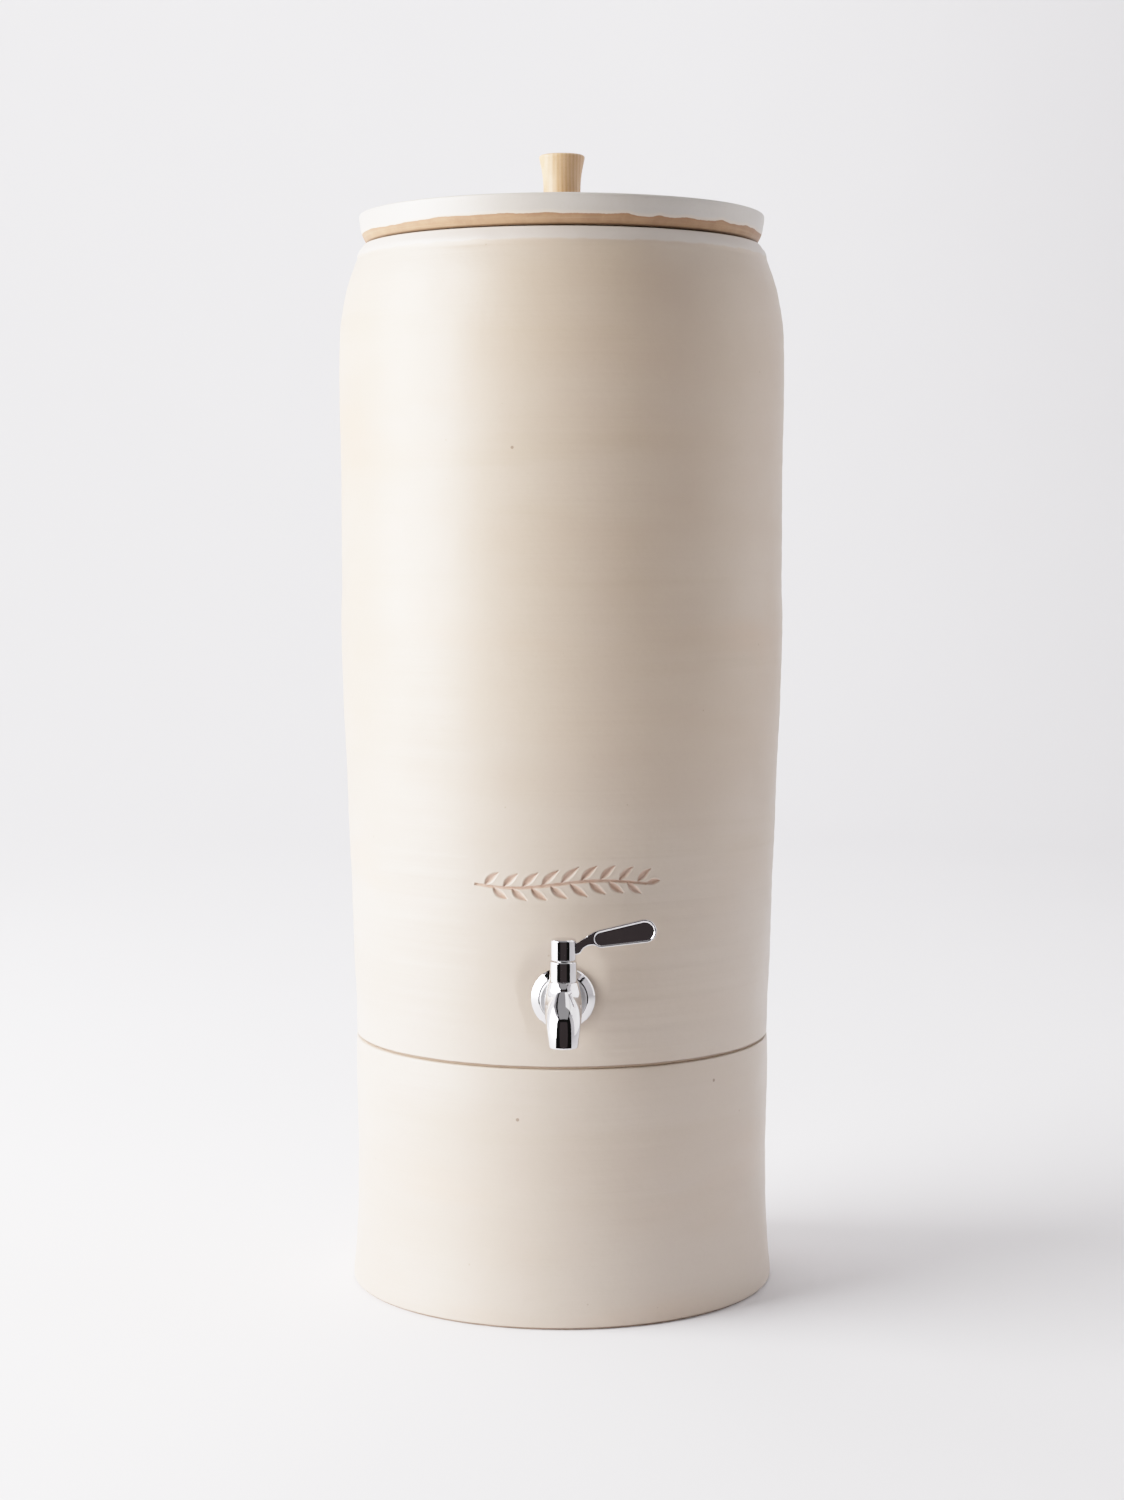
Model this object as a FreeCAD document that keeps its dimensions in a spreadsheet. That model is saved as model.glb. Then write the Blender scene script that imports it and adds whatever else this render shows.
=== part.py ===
import FreeCAD, Part
import math
import os
import Sketcher
from FreeCAD import Placement, Rotation, Vector

# Gravity water filter: a stoneware crock on a stoneware stand, a filter chamber
# with two candles hanging in the crock's mouth, a lid with a turned wooden knob
# and a lever tap near the foot of the crock. Millimetres, +Z up. The origin is
# the centre of the stand's foot, the tap is on the -Y side, and the lever points
# to +X when the tap is shut.

doc = FreeCAD.newDocument("water_filter")
sheet = doc.addObject("Spreadsheet::Sheet", "Sizes")

SIZES = [
    # stand
    ("stand_height", 139.6, "height of the deck that the crock stands on"),
    ("stand_foot_radius", 118.7, "outside of the stand just above its foot"),
    ("stand_waist_radius", 116.1, "outside of the stand at its narrowest"),
    ("stand_deck_radius", 116.5, "outside of the stand under the deck"),
    ("stand_wall", 9.6, "wall of the stand"),
    ("stand_deck", 10.0, "thickness of the deck"),
    ("deck_hole_radius", 70.0, "hole in the middle of the deck"),
    ("rib_outer_radius", 101.5, "rib that keeps the crock in the middle, outside"),
    ("rib_width", 4.5, "width of that rib"),
    ("rib_height", 4.0, "height of that rib"),
    ("edge_round", 1.8, "rounding of the unglazed clay edges"),
    # crock
    ("foot_outer_radius", 116.3, "crock at its foot"),
    ("foot_inner_radius", 104.5, "recess under the crock"),
    ("foot_recess", 6.6, "depth of that recess"),
    ("crock_floor", 10.0, "thickness of the crock's floor"),
    ("crock_low_radius", 118.9, "outside of the crock at crock_low_height"),
    ("crock_low_height", 223.0, ""),
    ("crock_mid_radius", 121.5, "outside at crock_mid_height"),
    ("crock_mid_height", 296.0, ""),
    ("crock_belly_radius", 123.9, "outside at crock_belly_height"),
    ("crock_belly_height", 370.0, ""),
    ("crock_waist_radius", 123.35, "outside at crock_waist_height"),
    ("crock_waist_height", 398.0, ""),
    ("crock_top_radius", 124.2, "outside where the shoulder starts"),
    ("crock_top_height", 503.0, ""),
    ("shoulder_radius", 120.3, "outside halfway round the shoulder"),
    ("shoulder_height", 554.0, ""),
    ("collar_radius", 111.1, "outside just under the rim"),
    ("collar_height", 579.0, ""),
    ("rim_height", 580.3, "top of the crock's rim"),
    ("crock_wall", 9.4, "wall of the crock"),
    ("mouth_radius", 99.5, "mouth of the crock"),
    ("gallery_radius", 105.0, "ledge that the filter chamber hangs on"),
    ("gallery_height", 575.0, ""),
    ("floor_corner", 8.0, "inside corner of the floor"),
    # filter chamber
    ("chamber_radius", 95.0, "outside of the chamber"),
    ("chamber_wall", 8.5, "wall of the chamber"),
    ("chamber_bottom", 352.0, "underside of the chamber"),
    ("chamber_floor", 9.0, "thickness of its floor"),
    ("flange_radius", 104.3, "flange that hangs on the gallery"),
    ("flange_top", 581.0, "top of that flange, where the lid rests"),
    ("stem_hole_radius", 5.6, "holes for the candle stems"),
    # candles
    ("candle_spacing", 84.0, "between the two candles"),
    ("candle_radius", 25.0, "outside of the ceramic shell"),
    ("candle_length", 168.0, "length of the ceramic shell"),
    ("candle_wall", 8.0, "wall of the ceramic shell"),
    ("core_gap", 0.5, "room between shell and carbon core"),
    ("base_radius", 27.0, "plastic base of the candle"),
    ("base_height", 14.0, ""),
    ("base_floor", 4.0, "floor of the base under the shell"),
    ("stem_radius", 5.0, "threaded stem under the base"),
    ("stem_length", 30.0, "stem below the gasket's top"),
    ("stem_bore", 2.5, "water way through the stem"),
    ("gasket_radius", 17.0, "rubber washer under the base"),
    ("gasket_thickness", 3.0, ""),
    ("wing_hub_radius", 9.5, "hub of the wing nut"),
    ("wing_hub_height", 9.0, ""),
    ("wing_span", 44.0, "across the wings"),
    ("wing_thickness", 3.2, ""),
    ("wing_height", 15.0, ""),
    # lid and knob
    ("lid_bottom_radius", 108.2, "underside of the lid"),
    ("lid_bevel_radius", 111.0, "top of the bevel under the lid's edge"),
    ("lid_bevel_height", 5.0, ""),
    ("lid_edge_radius", 112.4, "edge of the lid near its top"),
    ("lid_thickness", 16.0, ""),
    ("lid_round", 1.6, "rounding of the lid's top edge"),
    ("lid_plate", 11.0, "thickness of the lid inside its ring"),
    ("ring_outer_radius", 85.0, "ring under the lid, inside the chamber"),
    ("ring_inner_radius", 77.0, ""),
    ("ring_depth", 10.0, ""),
    ("lid_hole_radius", 3.0, "hole for the knob's screw"),
    ("knob_height", 34.5, ""),
    ("knob_foot_radius", 11.6, ""),
    ("knob_neck_radius", 10.4, ""),
    ("knob_top_radius", 12.7, ""),
    ("insert_radius", 3.75, "brass insert in the knob"),
    ("insert_length", 13.0, ""),
    ("knob_bore_depth", 20.0, ""),
    ("screw_radius", 2.45, "knob screw"),
    ("screw_head_radius", 4.8, ""),
    ("screw_head_height", 3.4, ""),
    ("screw_length", 24.0, "under the head"),
    ("washer_radius", 8.0, "washer under the lid"),
    ("washer_thickness", 1.2, ""),
    # tap
    ("tap_height", 178.0, "height of the tap's axis"),
    ("outer_seat", 115.1, "flat for the tap outside, from the crock's axis"),
    ("outer_seat_radius", 24.5, "radius of that flat"),
    ("inner_seat", 108.4, "flat for the tap inside"),
    ("inner_seat_radius", 18.0, ""),
    ("tap_hole_radius", 8.5, "hole in the wall"),
    ("shank_radius", 7.9, "threaded shank, M16"),
    ("shank_inner_end", 92.0, "inner end of the shank, from the crock's axis"),
    ("outer_washer_radius", 15.0, ""),
    ("outer_washer_thickness", 1.6, ""),
    ("flange_plate_radius", 16.8, "chromed flange of the tap"),
    ("flange_plate_rim", 2.2, "thickness at its edge"),
    ("flange_plate_thickness", 4.2, "thickness at its boss"),
    ("boss_radius", 12.4, "boss of the tap body on the flange"),
    ("boss_thickness", 2.4, ""),
    ("barrel_radius", 7.6, "barrel between boss and valve"),
    ("inner_washer_radius", 15.5, ""),
    ("inner_washer_thickness", 2.0, ""),
    ("nut_flats", 24.0, "across the flats of the back nut"),
    ("nut_thickness", 6.0, ""),
    ("water_way", 3.6, "radius of the water way"),
    ("valve_reach", 141.0, "valve axis, from the crock's axis"),
    ("valve_body_radius", 9.4, "valve housing"),
    ("valve_body_bottom", -8.5, "from the tap's axis"),
    ("valve_body_top", 12.8, ""),
    ("valve_bore_radius", 6.2, "chamber that the plug turns in"),
    ("valve_bore_bottom", -6.4, ""),
    ("seat_wall", 1.3, "plastic sleeve around the plug"),
    ("plug_gap", 0.05, "running gap of plug and stem"),
    ("plug_bottom", -5.6, ""),
    ("plug_top", 5.6, ""),
    ("plug_bore", 3.2, "hole through the plug"),
    ("bonnet_radius", 7.05, "upright nut over the valve"),
    ("bonnet_bottom", 12.8, ""),
    ("bonnet_top", 23.5, ""),
    ("bonnet_thread_bottom", 6.2, "lower end of its threaded part"),
    ("stem_top", 32.2, "top of the valve stem"),
    ("valve_stem_radius", 3.6, ""),
    ("groove_radius", 2.5, "bottom of the seal grooves"),
    ("seal_low", 11.0, "height of the lower seal"),
    ("seal_high", 18.0, "height of the upper seal"),
    ("cap_radius", 6.7, "cap of the lever"),
    ("cap_bottom", 24.0, ""),
    ("cap_top", 35.4, ""),
    ("cap_round", 0.7, ""),
    ("square_side", 5.0, "square end of the stem"),
    ("square_bottom", 23.8, ""),
    ("lever_length", 48.0, "from the valve axis to the lever's tip"),
    ("lever_thickness", 4.0, ""),
    ("grub_radius", 1.5, "set screw"),
    ("grub_height", 29.6, ""),
    ("spout_radius", 7.6, "outside of the spout"),
    ("spout_reach", 158.0, "spout axis, from the crock's axis"),
    ("spout_bend", 10.0, "radius of the spout's bend"),
    ("spout_bottom", -18.6, "lip of the spout, from the tap's axis"),
    ("spout_bore", 5.4, "radius of the spout's opening"),
]

VALUES = {}
for row, (alias, number, meaning) in enumerate(SIZES, start=1):
    sheet.set("A%d" % row, meaning or alias)
    sheet.set("B%d" % row, repr(float(number)))
    sheet.setAlias("B%d" % row, alias)
    VALUES[alias] = float(number)
doc.recompute()


class Size:
    """A length as a number, with the same length written in the sheet's names."""

    def __init__(self, number, text):
        self.number = number
        self.text = text

    def __add__(self, other):
        other = size(other)
        return Size(self.number + other.number, "(%s + %s)" % (self.text, other.text))

    __radd__ = __add__

    def __sub__(self, other):
        other = size(other)
        return Size(self.number - other.number, "(%s - %s)" % (self.text, other.text))

    def __rsub__(self, other):
        return size(other) - self

    def __mul__(self, other):
        other = size(other)
        return Size(self.number * other.number, "(%s * %s)" % (self.text, other.text))

    __rmul__ = __mul__

    def __truediv__(self, other):
        other = size(other)
        return Size(self.number / other.number, "(%s / %s)" % (self.text, other.text))

    def __neg__(self):
        return Size(-self.number, "(0 - %s)" % self.text)


def size(value):
    if isinstance(value, Size):
        return value
    return Size(float(value), "%.6g" % value if value >= 0 else "(0 - %.6g)" % -value)


def s(alias):
    return Size(VALUES[alias], "Sizes.%s" % alias)


pieces = []


def new_body(label, base=None, tilt=None):
    """A piece; base is where its own origin lies, tilt its rotation about X."""
    body = doc.addObject("PartDesign::Body", label)
    body.Label = label
    if tilt is not None:
        body.Placement = Placement(Vector(0, 0, 0), Rotation(Vector(1, 0, 0), tilt))
    if base is not None:
        for letter, value in zip("xyz", base):
            if isinstance(value, Size):
                body.setExpression("Placement.Base.%s" % letter, value.text)
    pieces.append(body)
    return body


def plane_of(body, role):
    for feature in body.Origin.OriginFeatures:
        if feature.Role == role:
            return feature
    raise RuntimeError("no %s in %s" % (role, body.Label))


def new_sketch(body, name, plane="XZ_Plane", offset=None):
    sketch = body.newObject("Sketcher::SketchObject", "%s_%s" % (body.Label, name))
    sketch.AttachmentSupport = [(plane_of(body, plane), "")]
    sketch.MapMode = "FlatFace"
    if offset is not None:
        sketch.AttachmentOffset = Placement(Vector(0, 0, offset.number), Rotation())
        sketch.setExpression("AttachmentOffset.Base.z", offset.text)
    return sketch


def pin_point(sketch, geo, pos, x, y, name):
    """Hold one point of a sketch at (x, y)."""
    for kind, axis, value, letter in (
        ("DistanceX", -2, x, "x"),
        ("DistanceY", -1, y, "y"),
    ):
        value = size(value)
        if abs(value.number) < 1e-9:
            sketch.addConstraint(Sketcher.Constraint("PointOnObject", geo, pos, axis))
        else:
            index = sketch.addConstraint(
                Sketcher.Constraint(kind, -1, 1, geo, pos, value.number)
            )
            label = "%s_%s" % (name, letter)
            sketch.renameConstraint(index, label)
            if "Sizes" in value.text:
                sketch.setExpression("Constraints.%s" % label, value.text)


def outline(sketch, corners):
    """A closed outline. A corner is (x, y), or (x, y, r) when an arc of radius r
    leads to it from the corner before; r is positive for an arc that turns left."""
    pts = [(size(c[0]), size(c[1])) for c in corners]
    count = len(pts)
    for i in range(count):
        a = pts[i]
        b = pts[(i + 1) % count]
        bend = corners[(i + 1) % count][2:]
        p = Vector(a[0].number, a[1].number, 0)
        q = Vector(b[0].number, b[1].number, 0)
        if bend:
            r = size(bend[0])
            turn = 1.0 if r.number > 0 else -1.0
            radius = abs(r.number)
            chord = q - p
            half = chord.Length / 2.0
            rise = math.sqrt(max(radius * radius - half * half, 0.0))
            normal = Vector(-chord.y, chord.x, 0).normalize()
            centre = (p + q) * 0.5 + normal * rise * turn
            t0 = math.atan2(p.y - centre.y, p.x - centre.x)
            t1 = math.atan2(q.y - centre.y, q.x - centre.x)
            circle = Part.Circle(centre, Vector(0, 0, 1), radius)
            if turn > 0:
                geo = Part.ArcOfCircle(circle, t0, t1)
            else:
                geo = Part.ArcOfCircle(circle, t1, t0)
            sketch.addGeometry(geo, False)
        else:
            turn = 1.0
            sketch.addGeometry(Part.LineSegment(p, q), False)
    starts = []
    for i in range(count):
        bend = corners[(i + 1) % count][2:]
        left = not bend or size(bend[0]).number > 0
        starts.append((1, 2) if left else (2, 1))
    for i in range(count):
        j = (i + 1) % count
        sketch.addConstraint(
            Sketcher.Constraint("Coincident", i, starts[i][1], j, starts[j][0])
        )
    for i in range(count):
        pin_point(sketch, i, starts[i][0], pts[i][0], pts[i][1], "corner%d" % i)
        bend = corners[(i + 1) % count][2:]
        if bend:
            r = size(bend[0])
            index = sketch.addConstraint(
                Sketcher.Constraint("Radius", i, abs(r.number))
            )
            sketch.renameConstraint(index, "bend%d" % i)
            if "Sizes" in r.text:
                text = r.text if r.number > 0 else (-r).text
                sketch.setExpression("Constraints.bend%d" % i, text)
    return sketch


def dome(radius, rise):
    """Radius of an arc whose centre is on the axis, for a cap of this rise."""
    return (radius * radius + rise * rise) / (rise * 2)


def circle_at(sketch, x, y, r, name="circle"):
    x, y, r = size(x), size(y), size(r)
    geo = sketch.addGeometry(
        Part.Circle(Vector(x.number, y.number, 0), Vector(0, 0, 1), r.number), False
    )
    pin_point(sketch, geo, 3, x, y, "%s%d_centre" % (name, geo))
    index = sketch.addConstraint(Sketcher.Constraint("Radius", geo, r.number))
    label = "%s%d_radius" % (name, geo)
    sketch.renameConstraint(index, label)
    if "Sizes" in r.text:
        sketch.setExpression("Constraints.%s" % label, r.text)
    return geo


def bind(feature, prop, value):
    value = size(value)
    setattr(feature, prop, value.number)
    if "Sizes" in value.text:
        feature.setExpression(prop, value.text)


def turned(body, corners, name="section", cut=False):
    """A turned form: the outline in x = radius, y = height, about the upright axis."""
    sketch = outline(new_sketch(body, name), corners)
    kind = "PartDesign::Groove" if cut else "PartDesign::Revolution"
    feature = body.newObject(kind, "%s_%s_turned" % (body.Label, name))
    feature.Profile = sketch
    feature.ReferenceAxis = (sketch, ["V_Axis"])
    feature.Angle = 360.0
    doc.recompute()
    return feature


def grown(body, sketch, length, both=False, back=False, name="pad"):
    feature = body.newObject("PartDesign::Pad", "%s_%s" % (body.Label, name))
    feature.Profile = sketch
    bind(feature, "Length", length)
    feature.Midplane = both
    feature.Reversed = back
    doc.recompute()
    return feature


def cut_in(body, sketch, length, back=False, both=False, name="pocket"):
    before = body.Shape.Volume
    feature = body.newObject("PartDesign::Pocket", "%s_%s" % (body.Label, name))
    feature.Profile = sketch
    bind(feature, "Length", length)
    feature.Reversed = back
    feature.Midplane = both
    doc.recompute()
    if not body.Shape.Volume < before - 1e-3:
        raise RuntimeError("%s cuts nothing" % feature.Name)
    return feature


# ---------------------------------------------------------------- stand

stand_h = s("stand_height")
wall_in = s("stand_waist_radius") - s("stand_wall")
rib_out = s("rib_outer_radius")
rib_in = rib_out - s("rib_width")
er = s("edge_round")

stand = new_body("stand_ring")
turned(
    stand,
    [
        (wall_in + 1.2, 0),
        (s("stand_foot_radius") - er, 0),
        (s("stand_foot_radius"), er, er),
        (s("stand_waist_radius") + 0.9, 31),
        (s("stand_waist_radius") + 0.1, 58),
        (s("stand_waist_radius"), 78),
        (s("stand_deck_radius") + 0.1, 114),
        (s("stand_deck_radius"), stand_h - er),
        (s("stand_deck_radius") - er, stand_h, er),
        (rib_out, stand_h),
        (rib_out - 0.6, stand_h + s("rib_height")),
        (rib_in + 0.6, stand_h + s("rib_height")),
        (rib_in, stand_h),
        (s("deck_hole_radius") + 2, stand_h),
        (s("deck_hole_radius"), stand_h - 2, 2),
        (s("deck_hole_radius"), stand_h - s("stand_deck")),
        (wall_in - 6, stand_h - s("stand_deck")),
        (wall_in, stand_h - s("stand_deck") - 6, -6),
        (wall_in, 1.2),
    ],
)

# ---------------------------------------------------------------- crock

crock = new_body("crock")
cw = s("crock_wall")
foot_in = s("foot_inner_radius")
floor_low = stand_h + s("foot_recess")
floor_top = floor_low + s("crock_floor")
corner = s("floor_corner")
low_in = s("foot_outer_radius") - cw + 0.6
turned(
    crock,
    [
        (0, floor_low),
        (foot_in - 2, floor_low),
        (foot_in, floor_low - 2, -2),
        (foot_in, stand_h + 0.8),
        (foot_in + 0.8, stand_h),
        (s("foot_outer_radius") - er, stand_h),
        (s("foot_outer_radius"), stand_h + er, er),
        (s("crock_low_radius"), s("crock_low_height")),
        (s("crock_mid_radius"), s("crock_mid_height")),
        (s("crock_belly_radius"), s("crock_belly_height")),
        (s("crock_waist_radius"), s("crock_waist_height")),
        (s("crock_top_radius"), s("crock_top_height")),
        (s("shoulder_radius"), s("shoulder_height"), 335),
        (s("collar_radius"), s("collar_height"), 70),
        (s("collar_radius") - 3.2, s("rim_height"), 4),
        (s("gallery_radius") + 0.8, s("rim_height")),
        (s("gallery_radius"), s("rim_height") - 0.8, 0.8),
        (s("gallery_radius"), s("gallery_height")),
        (s("mouth_radius"), s("gallery_height")),
        (s("mouth_radius"), s("gallery_height") - 9),
        (s("shoulder_radius") - cw - 3.4, s("shoulder_height") - 7),
        (s("crock_top_radius") - cw, s("crock_top_height") + 18),
        (s("crock_top_radius") - cw, s("crock_top_height")),
        (s("crock_waist_radius") - cw, s("crock_waist_height")),
        (s("crock_mid_radius") - cw, s("crock_mid_height")),
        (low_in, floor_top + corner),
        (low_in - corner, floor_top, -corner),
        (0, floor_top),
    ],
)
hole = new_sketch(crock, "tap_hole")
circle_at(hole, 0, s("tap_height"), s("tap_hole_radius"))
cut_in(crock, hole, 135, back=True, name="tap_hole_cut")
flat = new_sketch(crock, "outer_seat", offset=s("outer_seat"))
circle_at(flat, 0, s("tap_height"), s("outer_seat_radius"))
cut_in(crock, flat, 20, back=True, name="outer_seat_cut")
flat = new_sketch(crock, "inner_seat", offset=s("inner_seat") - 14)
circle_at(flat, 0, s("tap_height"), s("inner_seat_radius"))
cut_in(crock, flat, 14, back=True, name="inner_seat_cut")

# ---------------------------------------------------------------- filter chamber

chamber = new_body("filter_chamber")
ch_r = s("chamber_radius")
ch_in = ch_r - s("chamber_wall")
ch_bot = s("chamber_bottom")
ch_floor = ch_bot + s("chamber_floor")
fl_r = s("flange_radius")
fl_top = s("flange_top")
gal = s("gallery_height")
turned(
    chamber,
    [
        (0, ch_bot),
        (ch_r - 7, ch_bot),
        (ch_r, ch_bot + 7, 7),
        (ch_r, gal - 4),
        (ch_r + 4, gal, -4),
        (fl_r - 1, gal),
        (fl_r, gal + 1, 1),
        (fl_r, fl_top - 1),
        (fl_r - 1, fl_top, 1),
        (ch_in + 1.6, fl_top),
        (ch_in, fl_top - 1.6, 1.6),
        (ch_in, ch_floor + 6),
        (ch_in - 6, ch_floor, -6),
        (0, ch_floor),
    ],
)
half = s("candle_spacing") / 2
holes = new_sketch(chamber, "stem_holes", plane="XY_Plane", offset=ch_bot)
circle_at(holes, half, 0, s("stem_hole_radius"), "right")
circle_at(holes, -half, 0, s("stem_hole_radius"), "left")
cut_in(chamber, holes, s("chamber_floor"), back=True, name="stem_holes_cut")

# ---------------------------------------------------------------- candles

seat_top = ch_floor + s("gasket_thickness")
shell_bottom = s("base_floor")
cr = s("candle_radius")
cl = s("candle_length")
cwall = s("candle_wall")

for side, sign in (("left", -1), ("right", 1)):
    x = half * sign
    at = (x, None, seat_top)

    base = new_body("candle_base_%s" % side, at)
    br = s("base_radius")
    turned(
        base,
        [
            (s("stem_bore"), -s("stem_length")),
            (s("stem_radius") - 0.6, -s("stem_length")),
            (s("stem_radius"), -s("stem_length") + 0.6),
            (s("stem_radius"), 0),
            (br - 1.5, 0),
            (br, 1.5, 1.5),
            (br, s("base_height") - 0.8),
            (br - 0.8, s("base_height"), 0.8),
            (cr, s("base_height")),
            (cr, s("base_floor")),
            (s("stem_bore"), s("base_floor")),
        ],
    )

    shell = new_body("candle_shell_%s" % side, at)
    turned(
        shell,
        [
            (cr - cwall, shell_bottom),
            (cr, shell_bottom),
            (cr, shell_bottom + cl - cr),
            (0, shell_bottom + cl, cr),
            (0, shell_bottom + cl - cwall),
            (cr - cwall, shell_bottom + cl - cr, -(cr - cwall)),
        ],
    )

    core = new_body("carbon_core_%s" % side, at)
    core_r = cr - cwall - s("core_gap")
    turned(
        core,
        [
            (4, shell_bottom),
            (core_r, shell_bottom),
            (core_r, shell_bottom + cl - cr - 2),
            (core_r - 3, shell_bottom + cl - cr + 1, 3),
            (0, shell_bottom + cl - cr + 1),
            (0, shell_bottom + cl - cr - 9),
            (4, shell_bottom + cl - cr - 9),
        ],
    )

    gasket = new_body("candle_gasket_%s" % side, (x, None, ch_floor))
    gr = s("gasket_radius")
    gt = s("gasket_thickness")
    turned(
        gasket,
        [
            (s("stem_radius") + 0.2, 0),
            (gr - 0.8, 0),
            (gr, 0.8, 0.8),
            (gr, gt - 0.8),
            (gr - 0.8, gt, 0.8),
            (s("stem_radius") + 0.2, gt),
        ],
    )

    nut = new_body("candle_wing_nut_%s" % side, (x, None, ch_bot))
    hub_r = s("wing_hub_radius")
    hub_h = s("wing_hub_height")
    turned(
        nut,
        [
            (s("stem_radius") + 0.05, -hub_h),
            (hub_r - 2, -hub_h),
            (hub_r, -hub_h + 2, 2),
            (hub_r, -1.5),
            (hub_r + 1.5, -1.5),
            (hub_r + 1.5, 0),
            (s("stem_radius") + 0.05, 0),
        ],
    )
    wings = new_sketch(nut, "wings")
    span = s("wing_span") / 2
    outline(
        wings,
        [
            (hub_r - 2, -3),
            (hub_r - 2, -hub_h + 1.5),
            (span - 7, -s("wing_height")),
            (span, -s("wing_height") + 6, 6),
            (span - 5, -3, 14),
        ],
    )
    wing = grown(nut, wings, s("wing_thickness"), both=True, name="wing")
    pair = nut.newObject("PartDesign::PolarPattern", "wings_%s" % side)
    pair.Originals = [wing]
    pair.Axis = (plane_of(nut, "Z_Axis"), [""])
    pair.Angle = 360
    pair.Occurrences = 2
    nut.Tip = pair
    doc.recompute()

# ---------------------------------------------------------------- lid and knob

lid = new_body("lid")
lt = fl_top + s("lid_thickness")
lp = lt - s("lid_plate")
ring_out = s("ring_outer_radius")
ring_in = s("ring_inner_radius")
ring_low = fl_top - s("ring_depth")
lr = s("lid_round")
turned(
    lid,
    [
        (s("lid_hole_radius"), lp),
        (ring_in - 3, lp),
        (ring_in, lp - 3, -3),
        (ring_in, ring_low + 1),
        (ring_in + 1, ring_low, 1),
        (ring_out - 1, ring_low),
        (ring_out, ring_low + 1, 1),
        (ring_out, fl_top),
        (s("lid_bottom_radius"), fl_top),
        (s("lid_bevel_radius"), fl_top + s("lid_bevel_height")),
        (s("lid_edge_radius"), lt - lr - 1),
        (s("lid_edge_radius") - lr, lt, lr * 1.35),
        (s("lid_hole_radius"), lt),
    ],
)

knob = new_body("knob", (None, None, lt))
kh = s("knob_height")
turned(
    knob,
    [
        (s("insert_radius"), 0),
        (s("knob_foot_radius"), 0),
        (s("knob_neck_radius"), kh * 0.4, -60),
        (s("knob_top_radius"), kh - 2.6, -42),
        (s("knob_top_radius") - 1.6, kh - 0.9, 1.7),
        (0, kh, dome(s("knob_top_radius") - 1.6, size(0.9))),
        (0, s("knob_bore_depth")),
        (s("screw_radius") + 0.35, s("knob_bore_depth")),
        (s("screw_radius") + 0.35, s("insert_length")),
        (s("insert_radius"), s("insert_length")),
    ],
)

insert = new_body("knob_insert", (None, None, lt))
turned(
    insert,
    [
        (s("screw_radius") + 0.05, 0),
        (s("insert_radius"), 0),
        (s("insert_radius"), s("insert_length")),
        (s("screw_radius") + 0.05, s("insert_length")),
    ],
)

washer = new_body("knob_washer", (None, None, lp))
wt = s("washer_thickness")
turned(
    washer,
    [
        (s("screw_radius") + 0.25, -wt),
        (s("washer_radius") - 0.3, -wt),
        (s("washer_radius"), -wt + 0.3),
        (s("washer_radius"), 0),
        (s("screw_radius") + 0.25, 0),
    ],
)

screw = new_body("knob_screw", (None, None, lp - wt))
sr = s("screw_radius")
sl = s("screw_length")
hr = s("screw_head_radius")
hh = s("screw_head_height")
turned(
    screw,
    [
        (0, -hh),
        (hr - 1.6, -hh),
        (hr, -hh + 1.6, 1.6),
        (hr, 0),
        (sr, 0),
        (sr, sl - 0.8),
        (sr - 0.8, sl),
        (0, sl),
    ],
)
slot = new_sketch(screw, "slot", plane="XY_Plane", offset=-hh)
outline(slot, [(-3.4, -0.55), (3.4, -0.55), (3.4, 0.55), (-3.4, 0.55)])
cut_in(screw, slot, 1.3, back=True, name="slot_cut")

# ---------------------------------------------------------------- tap
# Turned pieces on the tap's own axis: their own Z runs outwards from the crock's
# axis through the wall, so heights below are distances from the crock's axis.

tap_at = (None, None, s("tap_height"))
face = s("outer_seat")
plate0 = face + s("outer_washer_thickness")
plate1 = plate0 + s("flange_plate_thickness")
boss1 = plate1 + s("boss_thickness")
sh = s("shank_radius")
inner = s("inner_seat")
iw = s("inner_washer_thickness")

outer_washer = new_body("tap_outer_washer", tap_at, 90)
turned(
    outer_washer,
    [
        (sh + 0.15, face),
        (s("outer_washer_radius") - 0.5, face),
        (s("outer_washer_radius"), face + 0.5, 0.5),
        (s("outer_washer_radius"), plate0),
        (sh + 0.15, plate0),
    ],
)

flange = new_body("tap_flange", tap_at, 90)
turned(
    flange,
    [
        (sh + 0.1, plate0),
        (s("flange_plate_radius") - 0.5, plate0),
        (s("flange_plate_radius"), plate0 + 0.5, 0.5),
        (s("flange_plate_radius"), plate0 + s("flange_plate_rim") - 0.8),
        (s("flange_plate_radius") - 0.8, plate0 + s("flange_plate_rim"), 0.8),
        (s("boss_radius") + 0.4, plate1),
        (sh + 0.1, plate1),
    ],
)

inner_washer = new_body("tap_inner_washer", tap_at, 90)
turned(
    inner_washer,
    [
        (sh + 0.15, inner - iw),
        (s("inner_washer_radius"), inner - iw),
        (s("inner_washer_radius"), inner - 0.5),
        (s("inner_washer_radius") - 0.5, inner, 0.5),
        (sh + 0.15, inner),
    ],
)

back_nut = new_body("tap_back_nut", tap_at, 90)
nut_low = inner - iw - s("nut_thickness")
hexagon = new_sketch(back_nut, "hexagon", plane="XY_Plane", offset=nut_low)
across = s("nut_flats") / 2
corner_r = across / math.cos(math.radians(30))
outline(
    hexagon,
    [
        (corner_r, 0),
        (corner_r * 0.5, across),
        (corner_r * -0.5, across),
        (-corner_r, 0),
        (corner_r * -0.5, -across),
        (corner_r * 0.5, -across),
    ],
)
circle_at(hexagon, 0, 0, sh + 0.05, "thread")
grown(back_nut, hexagon, s("nut_thickness"), name="hex")
bevel = across + 0.5
turned(
    back_nut,
    [
        (bevel, nut_low - 1),
        (corner_r + 2, nut_low - 1),
        (corner_r + 2, nut_low + 1.2),
    ],
    name="bevel",
    cut=True,
)

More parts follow.
